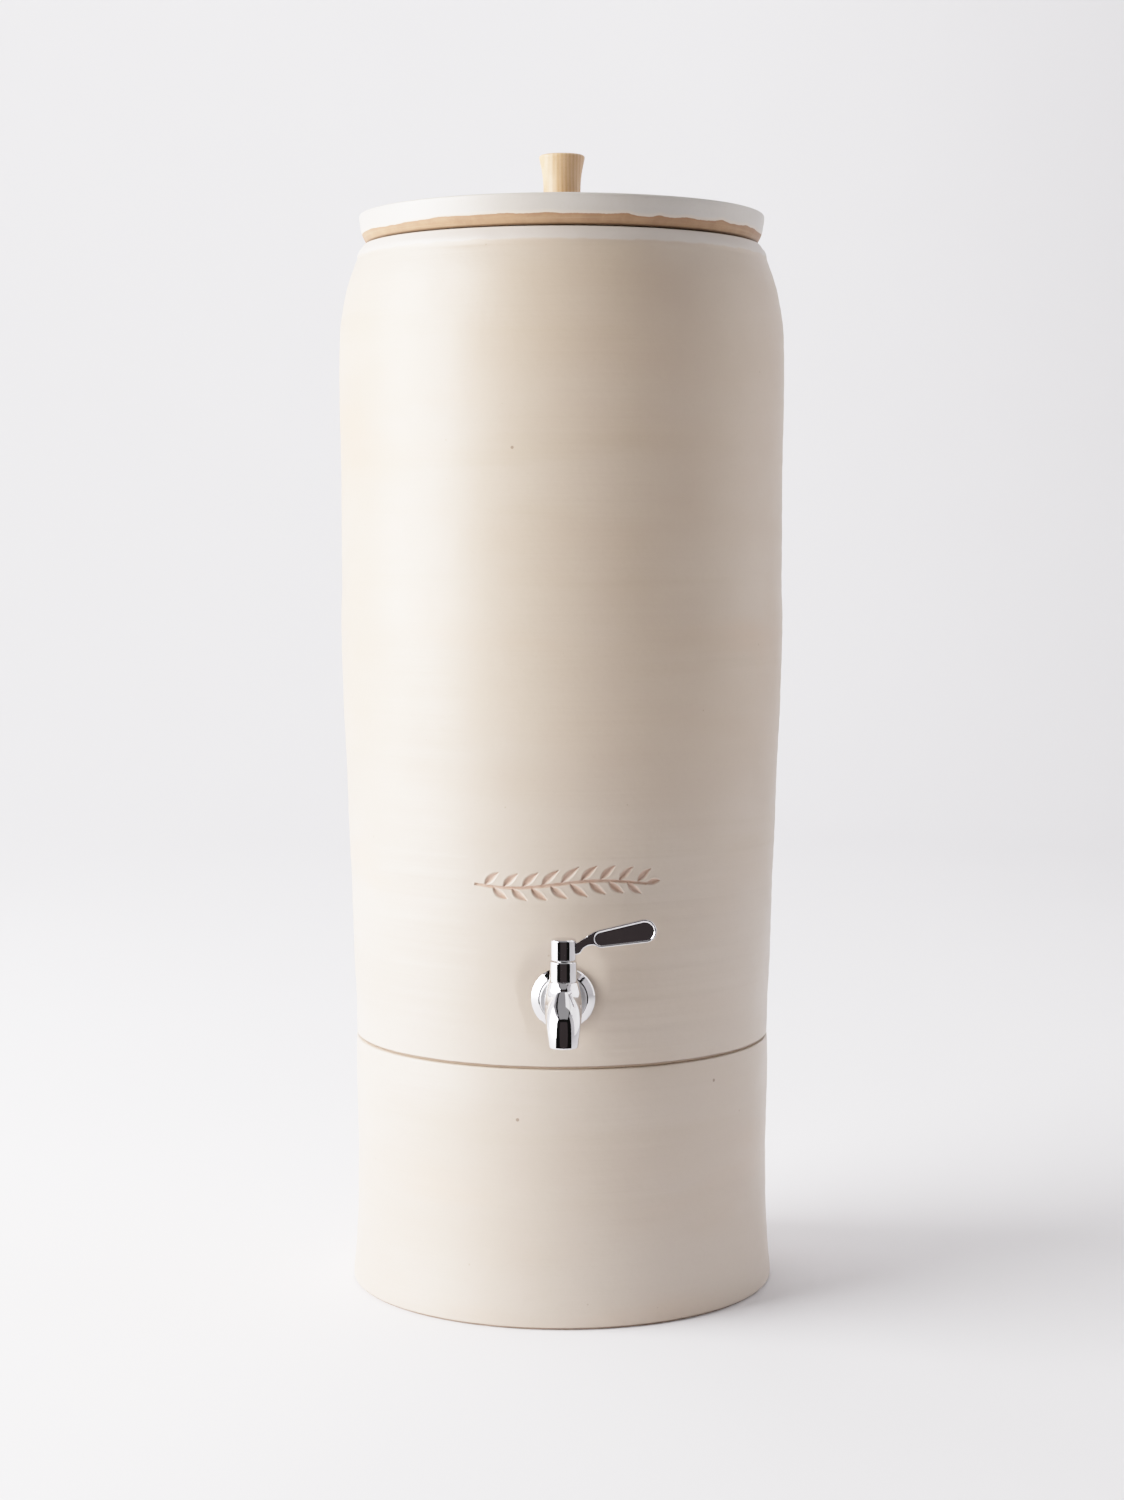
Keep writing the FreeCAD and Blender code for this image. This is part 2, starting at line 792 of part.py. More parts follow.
# Tap body: shank, boss, barrel, upright valve housing and curved spout, with the
# water way from the shank's end through the valve chamber to the spout's lip.
tap = new_body("tap_body", tap_at)
shank0 = s("shank_inner_end")
vr = s("valve_reach")
half_section = new_sketch(tap, "shank", plane="YZ_Plane")
outline(
    half_section,
    [
        (-shank0, 0),
        (-shank0, sh - 1),
        (-(shank0 + 1), sh),
        (-plate1, sh),
        (-plate1, s("boss_radius")),
        (-(boss1 - 0.8), s("boss_radius")),
        (-boss1, s("boss_radius") - 0.8, 0.8),
        (-boss1, s("barrel_radius") + 1.5),
        (-(boss1 + 1.5), s("barrel_radius"), -1.5),
        (-vr, s("barrel_radius")),
        (-vr, 0),
    ],
)
turn = tap.newObject("PartDesign::Revolution", "tap_body_shank_turned")
turn.Profile = half_section
turn.ReferenceAxis = (half_section, ["H_Axis"])
turn.Angle = 360.0
doc.recompute()

housing = new_sketch(tap, "housing", plane="XY_Plane", offset=s("valve_body_bottom"))
circle_at(housing, 0, -vr, s("valve_body_radius"))
grown(
    tap, housing, s("valve_body_top") - s("valve_body_bottom"), name="housing_grown"
)

reach = s("spout_reach")
bend = s("spout_bend")
spout_low = s("spout_bottom")


def spout_path(name, top_start):
    path = new_sketch(tap, name, plane="YZ_Plane")
    p0 = Vector(-top_start.number, 0, 0)
    p1 = Vector(-(reach - bend).number, 0, 0)
    p2 = Vector(-reach.number, -bend.number, 0)
    p3 = Vector(-reach.number, spout_low.number, 0)
    path.addGeometry(Part.LineSegment(p0, p1), False)
    centre = Vector(p1.x, -bend.number, 0)
    path.addGeometry(
        Part.ArcOfCircle(
            Part.Circle(centre, Vector(0, 0, 1), bend.number), math.pi / 2, math.pi
        ),
        False,
    )
    path.addGeometry(Part.LineSegment(p2, p3), False)
    path.addConstraint(Sketcher.Constraint("Coincident", 0, 2, 1, 1))
    path.addConstraint(Sketcher.Constraint("Coincident", 1, 2, 2, 1))
    pin_point(path, 0, 1, -top_start, 0, "start")
    pin_point(path, 0, 2, -(reach - bend), 0, "bend_start")
    pin_point(path, 1, 2, -reach, -bend, "bend_end")
    pin_point(path, 2, 2, -reach, spout_low, "lip")
    index = path.addConstraint(Sketcher.Constraint("Radius", 1, bend.number))
    path.renameConstraint(index, "bend_radius")
    path.setExpression("Constraints.bend_radius", bend.text)
    return path


skin_path = spout_path("spout_path", vr)
skin_ring = new_sketch(tap, "spout_ring", plane="XZ_Plane", offset=vr)
circle_at(skin_ring, 0, 0, s("spout_radius"))
skin = tap.newObject("PartDesign::AdditivePipe", "tap_body_spout")
skin.Profile = skin_ring
skin.Spine = skin_path
doc.recompute()

way = new_sketch(tap, "inlet", plane="XZ_Plane", offset=shank0)
circle_at(way, 0, 0, s("water_way"))
cut_in(tap, way, vr - shank0, back=True, name="inlet_cut")
well = new_sketch(tap, "valve_bore", plane="XY_Plane", offset=s("valve_bore_bottom"))
circle_at(well, 0, -vr, s("valve_bore_radius"))
cut_in(
    tap,
    well,
    s("valve_body_top") - s("valve_bore_bottom"),
    back=True,
    name="valve_bore_cut",
)
bore_path = spout_path("bore_path", vr)
bore_ring = new_sketch(tap, "bore_ring", plane="XZ_Plane", offset=vr)
circle_at(bore_ring, 0, 0, s("water_way"))
before = tap.Shape.Volume
bore = tap.newObject("PartDesign::SubtractivePipe", "tap_body_bore")
bore.Profile = bore_ring
bore.Spine = bore_path
doc.recompute()
if not tap.Shape.Volume < before - 1:
    raise RuntimeError("the spout has no water way")
mouth = new_sketch(tap, "spout_mouth", plane="XY_Plane", offset=spout_low)
circle_at(mouth, 0, -reach, s("spout_bore"))
cut_in(tap, mouth, 9, back=True, name="spout_mouth_cut")

# Pieces on the valve's upright axis: their own Z starts at the tap's axis.
valve_at = (None, -vr, s("tap_height"))
vb = s("valve_bore_radius")
gap = s("plug_gap")
plug_r = vb - s("seat_wall") - gap

sleeve = new_body("valve_seat", valve_at)
turned(
    sleeve,
    [
        (plug_r + gap, s("valve_bore_bottom")),
        (vb, s("valve_bore_bottom")),
        (vb, s("plug_top")),
        (plug_r + gap, s("plug_top")),
    ],
)
ports = new_sketch(sleeve, "ports", plane="XZ_Plane")
circle_at(ports, 0, 0, s("plug_bore"))
cut_in(sleeve, ports, vb * 2 + 2, both=True, name="ports_cut")

plug = new_body("valve_plug", valve_at)
stem_r = s("valve_stem_radius")
gv = s("groove_radius")
low = s("seal_low")
high = s("seal_high")
wide = stem_r - gv
turned(
    plug,
    [
        (0, s("plug_bottom")),
        (plug_r - 0.5, s("plug_bottom")),
        (plug_r, s("plug_bottom") + 0.5),
        (plug_r, s("plug_top")),
        (stem_r, s("plug_top")),
        (stem_r, low - wide / 2),
        (gv, low - wide / 2),
        (gv, low + wide / 2),
        (stem_r, low + wide / 2),
        (stem_r, high - wide / 2),
        (gv, high - wide / 2),
        (gv, high + wide / 2),
        (stem_r, high + wide / 2),
        (stem_r, s("square_bottom")),
        (2.4, s("square_bottom")),
        (2.4, s("stem_top")),
        (0, s("stem_top")),
    ],
)
square = new_sketch(plug, "square", plane="XY_Plane", offset=s("square_bottom"))
sq = s("square_side") / 2
outline(square, [(-sq, -sq), (sq, -sq), (sq, sq), (-sq, sq)])
grown(plug, square, s("stem_top") - s("square_bottom"), name="square_grown")
cross = new_sketch(plug, "cross_bore", plane="YZ_Plane")
circle_at(cross, 0, 0, s("plug_bore"))
cut_in(plug, cross, plug_r * 2 + 2, both=True, name="cross_bore_cut")

bonnet = new_body("tap_bonnet", valve_at)
bo = s("bonnet_radius")
b0 = s("bonnet_bottom")
b1 = s("bonnet_top")
turned(
    bonnet,
    [
        (stem_r + gap, s("bonnet_thread_bottom")),
        (vb - 0.05, s("bonnet_thread_bottom")),
        (vb - 0.05, b0),
        (bo - 0.3, b0),
        (bo, b0 + 0.3),
        (bo, b1 - 0.5),
        (bo - 0.5, b1, 0.5),
        (stem_r + gap, b1),
    ],
)

seals = new_body("stem_o_rings", valve_at)
seal_r = wide / 2
ring_low_sketch = new_sketch(seals, "low_ring")
circle_at(ring_low_sketch, gv + seal_r, low, seal_r)
ring_turn = seals.newObject("PartDesign::Revolution", "stem_o_rings_low")
ring_turn.Profile = ring_low_sketch
ring_turn.ReferenceAxis = (ring_low_sketch, ["V_Axis"])
ring_turn.Angle = 360.0
doc.recompute()
row = seals.newObject("PartDesign::LinearPattern", "stem_o_rings_pair")
row.Originals = [ring_turn]
row.Direction = (plane_of(seals, "Z_Axis"), [""])
bind(row, "Length", high - low)
row.Occurrences = 2
seals.Tip = row
doc.recompute()

lever = new_body("lever_handle", valve_at)
c0 = s("cap_bottom")
c1 = s("cap_top")
cap_r = s("cap_radius")
rnd = s("cap_round")
turned(
    lever,
    [
        (0, c0),
        (cap_r - 0.4, c0),
        (cap_r, c0 + 0.4),
        (cap_r, c1 - rnd - 0.5),
        (cap_r - rnd, c1 - 0.5, rnd),
        (0, c1, dome(cap_r - rnd, size(0.5))),
    ],
    name="cap",
)
blade = new_sketch(lever, "blade")
tip = s("lever_length")
outline(
    blade,
    [
        (cap_r - 2, c0 + 2.3),
        (cap_r - 0.2, c0 + 2.5),
        (11.0, c0 + 6.8, -9.5),
        (15.2, c0 + 7.2),
        (18.2, c0 + 6.5),
        (tip - 5.4, c0 + 8.8),
        (tip - 7.0, c0 + 21.3, 6.35),
        (15.6, c0 + 14.9),
        (9.8, c0 + 11.0),
        (cap_r - 2, c0 + 9.3),
    ],
)
grown(lever, blade, s("lever_thickness"), both=True, name="blade_grown")
socket = new_sketch(lever, "socket", plane="XY_Plane", offset=c0)
sqg = sq + 0.05
outline(socket, [(-sqg, -sqg), (sqg, -sqg), (sqg, sqg), (-sqg, sqg)])
cut_in(lever, socket, s("stem_top") - c0 + 0.3, back=True, name="socket_cut")
grub_hole = new_sketch(lever, "grub_hole", plane="XZ_Plane")
circle_at(grub_hole, 0, s("grub_height"), s("grub_radius") + 0.03)
cut_in(lever, grub_hole, cap_r + 1, name="grub_hole_cut")

grub = new_body("lever_set_screw", valve_at)
rod = new_sketch(grub, "rod", plane="XZ_Plane", offset=-(sq + 0.02))
circle_at(rod, 0, s("grub_height"), s("grub_radius"))
grown(grub, rod, cap_r - sq - 0.8, back=True, name="rod_grown")
key = new_sketch(grub, "key", plane="XZ_Plane", offset=-(cap_r - 0.78 - 1.3))
outline(
    key,
    [
        (0.75, s("grub_height")),
        (0.375, s("grub_height") + 0.65),
        (-0.375, s("grub_height") + 0.65),
        (-0.75, s("grub_height")),
        (-0.375, s("grub_height") - 0.65),
        (0.375, s("grub_height") - 0.65),
    ],
)
cut_in(grub, key, 3, name="key_cut")

doc.recompute()

# ---------------------------------------------------------------- checks, files

bad = []
for obj in doc.Objects:
    if any(word in obj.State for word in ("Invalid", "Error")):
        bad.append("%s is %s" % (obj.Name, ",".join(obj.State)))
for piece in pieces:
    shape = piece.Shape
    if shape.isNull() or not shape.isValid() or not shape.Solids:
        bad.append("%s has no valid solid" % piece.Label)
if bad:
    raise RuntimeError("; ".join(bad))

loose = [o.Name for o in doc.Objects
         if o.TypeId == "Sketcher::SketchObject" and o.solve() != 0]
if loose:
    raise RuntimeError("sketches that don't solve: %s" % ", ".join(loose))

os.makedirs("parts", exist_ok=True)
for piece in pieces:
    piece.Shape.exportStep(os.path.join("parts", piece.Label + ".step"))
    print("%-24s %9.1f mm3  %d solid(s)" % (
        piece.Label, piece.Shape.Volume, len(piece.Shape.Solids)))
print("%d pieces" % len(pieces))
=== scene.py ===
import math

import bpy
import numpy as np
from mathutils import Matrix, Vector


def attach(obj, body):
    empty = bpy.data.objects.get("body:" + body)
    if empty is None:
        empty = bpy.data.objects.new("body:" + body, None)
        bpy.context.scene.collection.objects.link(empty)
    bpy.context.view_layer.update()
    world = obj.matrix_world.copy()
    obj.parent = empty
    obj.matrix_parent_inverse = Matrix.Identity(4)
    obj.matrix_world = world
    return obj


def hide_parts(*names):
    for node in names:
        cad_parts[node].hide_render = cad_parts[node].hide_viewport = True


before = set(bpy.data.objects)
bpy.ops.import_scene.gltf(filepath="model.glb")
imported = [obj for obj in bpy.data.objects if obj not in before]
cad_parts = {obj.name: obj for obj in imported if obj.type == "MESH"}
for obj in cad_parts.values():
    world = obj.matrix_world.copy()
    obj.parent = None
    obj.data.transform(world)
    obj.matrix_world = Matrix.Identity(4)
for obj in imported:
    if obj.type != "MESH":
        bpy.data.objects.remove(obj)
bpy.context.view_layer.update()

MM = 0.001
TAU = 2.0 * math.pi
scene = bpy.context.scene

# ------------------------------------------------------------------ meshes


def make_object(name, verts_mm, faces, smooth=True):
    mesh = bpy.data.meshes.new(name)
    mesh.from_pydata((np.asarray(verts_mm, float) * MM).tolist(), [], faces)
    mesh.polygons.foreach_set("use_smooth", [smooth] * len(mesh.polygons))
    mesh.update()
    obj = bpy.data.objects.new(name, mesh)
    scene.collection.objects.link(obj)
    return obj


def add_attribute(obj, name, values):
    layer = obj.data.attributes.new(name, "FLOAT", "POINT")
    layer.data.foreach_set("value", np.asarray(values, np.float32).ravel())


def smoothstep(a, b, x):
    t = np.clip((np.asarray(x, float) - a) / (b - a), 0.0, 1.0)
    return t * t * (3.0 - 2.0 * t)


def rounded(points, n=6, support=0.25):
    """A polyline through (r, z, fillet) corners, with arcs and support points."""
    pts = [np.array(p[:2], float) for p in points]
    out = []
    count = len(pts)
    for i, p in enumerate(pts):
        f = points[i][2] if len(points[i]) > 2 else 0.0
        if i in (0, count - 1) or f <= 0:
            out.append(p)
            continue
        a = pts[i - 1] - p
        b = pts[i + 1] - p
        la, lb = np.linalg.norm(a), np.linalg.norm(b)
        a, b = a / la, b / lb
        cosang = float(np.clip(a @ b, -0.9999, 0.9999))
        half = math.acos(cosang) / 2.0
        cut = min(f / math.tan(half), 0.49 * la, 0.49 * lb)
        f = cut * math.tan(half)
        start, end = p + a * cut, p + b * cut
        bis = (a + b) / np.linalg.norm(a + b)
        centre = p + bis * (f / math.sin(half))
        t0 = math.atan2(*(start - centre)[::-1])
        t1 = math.atan2(*(end - centre)[::-1])
        while t1 - t0 > math.pi:
            t1 -= TAU
        while t1 - t0 < -math.pi:
            t1 += TAU
        if la - cut > support * 2.2:
            out.append(start + a * support)
        for k in range(n + 1):
            t = t0 + (t1 - t0) * k / n
            out.append(centre + f * np.array([math.cos(t), math.sin(t)]))
        if lb - cut > support * 2.2:
            out.append(end + b * support)
    return np.array(out)


def spline(points, n=16):
    """A smooth curve (centripetal Catmull-Rom) through (r, z) points."""
    p = np.array(points, float)
    p = np.vstack([2 * p[0] - p[1], p, 2 * p[-1] - p[-2]])
    out = []
    for i in range(1, len(p) - 2):
        q = p[i - 1 : i + 3]
        t = [0.0]
        for a, b in zip(q[:-1], q[1:]):
            t.append(t[-1] + max(np.linalg.norm(b - a), 1e-6) ** 0.5)
        u = np.linspace(t[1], t[2], n, endpoint=False)[:, None]
        a1 = (t[1] - u) / (t[1] - t[0]) * q[0] + (u - t[0]) / (t[1] - t[0]) * q[1]
        a2 = (t[2] - u) / (t[2] - t[1]) * q[1] + (u - t[1]) / (t[2] - t[1]) * q[2]
        a3 = (t[3] - u) / (t[3] - t[2]) * q[2] + (u - t[2]) / (t[3] - t[2]) * q[3]
        b1 = (t[2] - u) / (t[2] - t[0]) * a1 + (u - t[0]) / (t[2] - t[0]) * a2
        b2 = (t[3] - u) / (t[3] - t[1]) * a2 + (u - t[1]) / (t[3] - t[1]) * a3
        out.append((t[2] - u) / (t[2] - t[1]) * b1 + (u - t[1]) / (t[2] - t[1]) * b2)
    return np.vstack(out + [p[-2][None]])


def resample(curve, spacing):
    """Points along a polyline whose distance apart follows spacing(r, z)."""
    seg = np.linalg.norm(np.diff(curve, axis=0), axis=1)
    length = np.concatenate([[0], np.cumsum(seg)])
    fine = np.linspace(0, length[-1], max(int(length[-1] / 0.1), 50))
    r = np.interp(fine, length, curve[:, 0])
    z = np.interp(fine, length, curve[:, 1])
    rate = 1.0 / spacing(r, z)
    total = np.concatenate(
        [[0], np.cumsum((rate[1:] + rate[:-1]) / 2 * np.diff(fine))]
    )
    count = max(int(round(total[-1])), 2)
    at = np.interp(np.linspace(0, total[-1], count + 1), total, fine)
    return np.c_[np.interp(at, fine, r), np.interp(at, fine, z)]


def spin_faces(rows, cols, first_pole, last_pole, closed=False):
    """Faces of a turned grid. Pole rows are one vertex each."""
    index = []
    at = 0
    for i in range(rows):
        pole = (i == 0 and first_pole) or (i == rows - 1 and last_pole)
        if pole:
            index.append(np.full(cols, at))
            at += 1
        else:
            index.append(np.arange(at, at + cols))
            at += cols
    faces = []
    spans = range(rows if closed else rows - 1)
    for i in spans:
        a, b = index[i], index[(i + 1) % rows]
        a2, b2 = np.roll(a, -1), np.roll(b, -1)
        if i == 0 and first_pole:
            faces.extend(np.c_[a, b2, b].tolist())
        elif i == rows - 2 and last_pole:
            faces.extend(np.c_[a, a2, b].tolist())
        else:
            faces.extend(np.c_[a, a2, b2, b].tolist())
    return index, faces


def turned(name, curve, cols=128, thetas=None, shape=None, closed=False,
           origin=(0, 0, 0), along="Z"):
    """A turned piece. curve is (r, height) in mm; shape(R, Z, TH) may move the
    points and returns R, Z and a dict of point attributes."""
    curve = np.asarray(curve, float)
    if thetas is None:
        thetas = np.linspace(0, TAU, cols, endpoint=False)
    cols = len(thetas)
    rows = len(curve)
    first = curve[0, 0] < 1e-6 and not closed
    last = curve[-1, 0] < 1e-6 and not closed
    R = np.repeat(curve[:, :1], cols, axis=1)
    Z = np.repeat(curve[:, 1:], cols, axis=1)
    TH = np.repeat(thetas[None, :], rows, axis=0)
    extra = {}
    X = Y = None
    if shape is not None:
        got = shape(R, Z, TH)
        R, Z, extra = got[0], got[1], got[2]
        if len(got) > 3:
            X, Y = got[3], got[4]
    if X is None:
        X, Y = R * np.sin(TH), -R * np.cos(TH)
    index, faces = spin_faces(rows, cols, first, last, closed)
    keep = np.ones((rows, cols), bool)
    if first:
        keep[0, 1:] = False
    if last:
        keep[-1, 1:] = False
    P = np.stack([X, Y, Z], -1)
    if first:
        P[0, :, :2] = 0
    if last:
        P[-1, :, :2] = 0
    P = P[keep]
    if along == "-Y":
        P = np.c_[P[:, 0], -P[:, 2], P[:, 1]]
    P = P + np.array(origin, float)
    obj = make_object(name, P, faces)
    for key, value in extra.items():
        add_attribute(obj, key, np.asarray(value)[keep])
    return obj


# ------------------------------------------------------------------ solids from distance fields


def surface(name, field, lo, hi, step):
    """A closed mesh of the zero level of field, on a grid of the given step."""
    lo, hi = np.array(lo, float), np.array(hi, float)
    n = np.ceil((hi - lo) / step).astype(int) + 1
    axes = [lo[i] + step * np.arange(n[i]) for i in range(3)]
    vals = np.empty(n, np.float32)
    yy, zz = np.meshgrid(axes[1], axes[2], indexing="ij")
    chunk = max(1, int(400000 / yy.size))
    for i in range(0, n[0], chunk):
        xs = axes[0][i : i + chunk]
        P = np.empty((len(xs),) + yy.shape + (3,))
        P[..., 0] = xs[:, None, None]
        P[..., 1] = yy
        P[..., 2] = zz
        vals[i : i + chunk] = field(P.reshape(-1, 3)).reshape(P.shape[:3])
    inside = vals < 0
    corner = [(a, b, c) for a in (0, 1) for b in (0, 1) for c in (0, 1)]
    m = n - 1

    def shift(arr, c):
        return arr[c[0] : c[0] + m[0], c[1] : c[1] + m[1], c[2] : c[2] + m[2]]

    total = sum(shift(inside, c).astype(np.int8) for c in corner)
    active = (total > 0) & (total < 8)
    cell = np.argwhere(active)
    number = np.full(m, -1, np.int64)
    number[active] = np.arange(len(cell))
    corner_vals = np.stack([shift(vals, c)[active] for c in corner], 1)
    corner_pos = np.array(corner, float)
    acc = np.zeros((len(cell), 3))
    cnt = np.zeros(len(cell))
    for a in range(8):
        for b in range(a + 1, 8):
            if np.abs(corner_pos[a] - corner_pos[b]).sum() != 1:
                continue
            va, vb = corner_vals[:, a], corner_vals[:, b]
            cross = (va < 0) != (vb < 0)
            t = np.where(cross, va / np.where(cross, va - vb, 1), 0)
            acc[cross] += (
                corner_pos[a] + t[cross, None] * (corner_pos[b] - corner_pos[a])
            )
            cnt[cross] += 1
    P = lo + step * (cell + acc / cnt[:, None])
    faces = []
    for axis in range(3):
        u, v = [k for k in range(3) if k != axis]
        a = [slice(None)] * 3
        b = [slice(None)] * 3
        a[axis], b[axis] = slice(0, -1), slice(1, None)
        first, second = inside[tuple(a)], inside[tuple(b)]
        for sign in (True, False):
            hit = np.argwhere((first != second) & (first == sign))
            hit = hit[(hit[:, u] > 0) & (hit[:, v] > 0)
                      & (hit[:, u] < n[u] - 1) & (hit[:, v] < n[v] - 1)]
            eu, ev = np.eye(3, dtype=int)[u], np.eye(3, dtype=int)[v]
            quad = [number[tuple((hit - d).T)] for d in (eu * 0, eu, eu + ev, ev)]
            quad = np.stack(quad, 1)
            flip = sign if axis != 1 else not sign
            faces.append(quad if flip else quad[:, ::-1])
    faces = np.vstack(faces)
    eps = step * 0.05
    for _ in range(4):
        d = field(P)
        g = np.stack(
            [(field(P + e) - field(P - e)) / (2 * eps) for e in np.eye(3) * eps], 1
        )
        size2 = np.maximum((g * g).sum(1), 0.2)
        move = -(d / size2)[:, None] * g
        far = np.linalg.norm(move, axis=1, keepdims=True)
        P = P + move * np.minimum(1.0, 0.5 * step / np.maximum(far, 1e-9))
    return make_object(name, P, faces.tolist())


def smin(a, b, k):
    h = np.clip(0.5 + 0.5 * (b - a) / k, 0, 1)
    return b * (1 - h) + a * h - k * h * (1 - h)


def smax(a, b, k):
    return -smin(-a, -b, k)


def round_path(P, pts, radii):
    """Distance to a tube of changing radius along a polyline."""
    best = None
    for (a, b, ra, rb) in zip(pts[:-1], pts[1:], radii[:-1], radii[1:]):
        ab = b - a
        t = np.clip(((P - a) @ ab) / (ab @ ab), 0, 1)
        d = np.linalg.norm(P - a - t[:, None] * ab, axis=1) - (ra + (rb - ra) * t)
        best = d if best is None else np.minimum(best, d)
    return best


# ------------------------------------------------------------------ materials


class Look:
    """A procedural material, built around one Principled shader."""

    def __init__(self, name, **sockets):
        self.mat = bpy.data.materials.new(name)
        self.mat.use_nodes = True
        self.t = self.mat.node_tree
        self.b = self.t.nodes["Principled BSDF"]
        for key, value in sockets.items():
            self.b.inputs[key.replace("_", " ")].default_value = value
        self.coord = self.t.nodes.new("ShaderNodeTexCoord").outputs["Object"]

    def node(self, kind, **props):
        made = self.t.nodes.new(kind)
        for key, value in props.items():
            setattr(made, key, value)
        return made

    def put(self, socket, value):
        if isinstance(value, bpy.types.NodeSocket):
            self.t.links.new(value, socket)
        else:
            socket.default_value = value

    def scaled(self, scale, source=None, shift=(0, 0, 0)):
        m = self.node("ShaderNodeMapping")
        self.put(m.inputs["Vector"], source or self.coord)
        m.inputs["Scale"].default_value = scale
        m.inputs["Location"].default_value = shift
        return m.outputs["Vector"]

    def noise(self, scale, detail=3.0, rough=0.5, vector=None, distortion=0.0):
        n = self.node("ShaderNodeTexNoise")
        self.put(n.inputs["Vector"], vector or self.coord)
        n.inputs["Scale"].default_value = scale
        n.inputs["Detail"].default_value = detail
        n.inputs["Roughness"].default_value = rough
        n.inputs["Distortion"].default_value = distortion
        return n.outputs["Fac"]

    def math(self, op, a, b=0.0, clamp=False):
        n = self.node("ShaderNodeMath", operation=op, use_clamp=clamp)
        self.put(n.inputs[0], a)
        self.put(n.inputs[1], b)
        return n.outputs[0]

    def remap(self, value, a, b, c=0.0, d=1.0):
        n = self.node("ShaderNodeMapRange", interpolation_type="SMOOTHSTEP")
        self.put(n.inputs["Value"], value)
        for key, number in zip(("From Min", "From Max", "To Min", "To Max"),
                               (a, b, c, d)):
            self.put(n.inputs[key], number)
        return n.outputs["Result"]

    def mix(self, fac, a, b, blend="MIX"):
        n = self.node("ShaderNodeMix", data_type="RGBA", blend_type=blend)
        self.put(n.inputs["Factor"], fac)
        self.put(n.inputs[6],
                 a if isinstance(a, bpy.types.NodeSocket) else (*a, 1.0))
        self.put(n.inputs[7],
                 b if isinstance(b, bpy.types.NodeSocket) else (*b, 1.0))
        return n.outputs[2]

    def attribute(self, name):
        n = self.node("ShaderNodeAttribute", attribute_name=name)
        return n.outputs["Fac"]

    def separate(self, vector=None):
        n = self.node("ShaderNodeSeparateXYZ")
        self.put(n.inputs[0], vector or self.coord)
        return n.outputs

    def bump(self, height, distance, strength=1.0, normal=None):
        n = self.node("ShaderNodeBump")
        n.inputs["Strength"].default_value = strength
        n.inputs["Distance"].default_value = distance
        self.put(n.inputs["Height"], height)
        if normal is not None:
            self.put(n.inputs["Normal"], normal)
        return n.outputs["Normal"]

    def out(self, **sockets):
        for key, value in sockets.items():
            self.put(self.b.inputs[key.replace("_", " ")], value)
        return self.mat


def speck_mask(look, cell, radius, share, seed):
    """Sparse round specks: one candidate dot per cell, of which a share shows."""
    v = look.node("ShaderNodeTexVoronoi", feature="F1")
    look.put(v.inputs["Vector"], look.scaled((1, 1, 1), shift=(seed, seed * 0.7, 0)))
    v.inputs["Scale"].default_value = 1.0 / cell
    v.inputs["Randomness"].default_value = 1.0
    sep = look.node("ShaderNodeSeparateColor")
    look.put(sep.inputs[0], v.outputs["Color"])
    size = look.math("MULTIPLY", look.math("ADD", sep.outputs[1], 0.35), radius / cell)
    dot = look.math("SUBTRACT", size, v.outputs["Distance"])
    dot = look.remap(dot, 0.0, radius / cell * 0.4)
    shows = look.math("LESS_THAN", sep.outputs[0], share)
    return look.math("MULTIPLY", dot, shows)


BODY_A = (0.556, 0.453, 0.362)
BODY_B = (0.584, 0.489, 0.403)
PEACH = (0.590, 0.432, 0.318)
SAND = (0.525, 0.428, 0.325)
CLAY = (0.31, 0.160, 0.075)
TOAST = (0.33, 0.18, 0.085)


def body_glaze(name, white=False):
    look = Look(name, Roughness=0.42, IOR=1.48)
    look.b.inputs["Coat Weight"].default_value = 0.25
    look.b.inputs["Coat Roughness"].default_value = 0.32
    a, b = BODY_A, BODY_B
    if white:
        a, b = (0.560, 0.505, 0.445), (0.590, 0.548, 0.498)
    z = look.separate()[2]
    broad = look.noise(5.5, 3, 0.55, look.scaled((1, 1, 2.6)))
    colour = look.mix(look.remap(broad, 0.36, 0.64), a, b)
    bands = look.noise(1.0, 4, 0.6, look.scaled((2.2, 2.2, 34.0)), 0.25)
    colour = look.mix(
        look.math("MULTIPLY", look.remap(bands, 0.54, 0.70), 0.45), colour, SAND
        if not white else (0.53, 0.475, 0.40))
    blush = look.noise(1.0, 3, 0.5, look.scaled((4.5, 4.5, 15.0), shift=(3.1, 0.4, 1.7)))
    colour = look.mix(
        look.math("MULTIPLY", look.remap(blush, 0.55, 0.72), 0.10 if white else 0.5),
        colour, PEACH)
    fine = look.noise(420, 4, 0.65)
    colour = look.mix(
        look.math("MULTIPLY", look.remap(fine, 0.45, 0.8), 0.16), colour,
        (0.49, 0.395, 0.30))
    if not white:
        # the glaze is warmer in a band on the upper part of the crock
        level = look.math("ADD", z, look.math("MULTIPLY", look.noise(
            1.0, 2, 0.5, look.scaled((3.0, 3.0, 9.0), shift=(1.3, 5.1, 0.2))), 0.16))
        warm = look.math("MULTIPLY", look.remap(level, 0.30, 0.43),
                         look.remap(level, 0.70, 0.62))
        colour = look.mix(look.math("MULTIPLY", warm, 0.42), colour,
                          (0.93, 0.80, 0.625), "MULTIPLY")
    # specks of iron in the clay that bleed through the glaze
    tiny = speck_mask(look, 0.0105, 0.00055, 0.30, 0.0)
    big = speck_mask(look, 0.034, 0.0011, 0.33, 2.0)
    colour = look.mix(look.math("MULTIPLY", tiny, 0.42), colour, (0.30, 0.20, 0.12))
    colour = look.mix(look.math("MULTIPLY", big, 0.72), colour, (0.17, 0.10, 0.06))
    return look, colour, fine, z


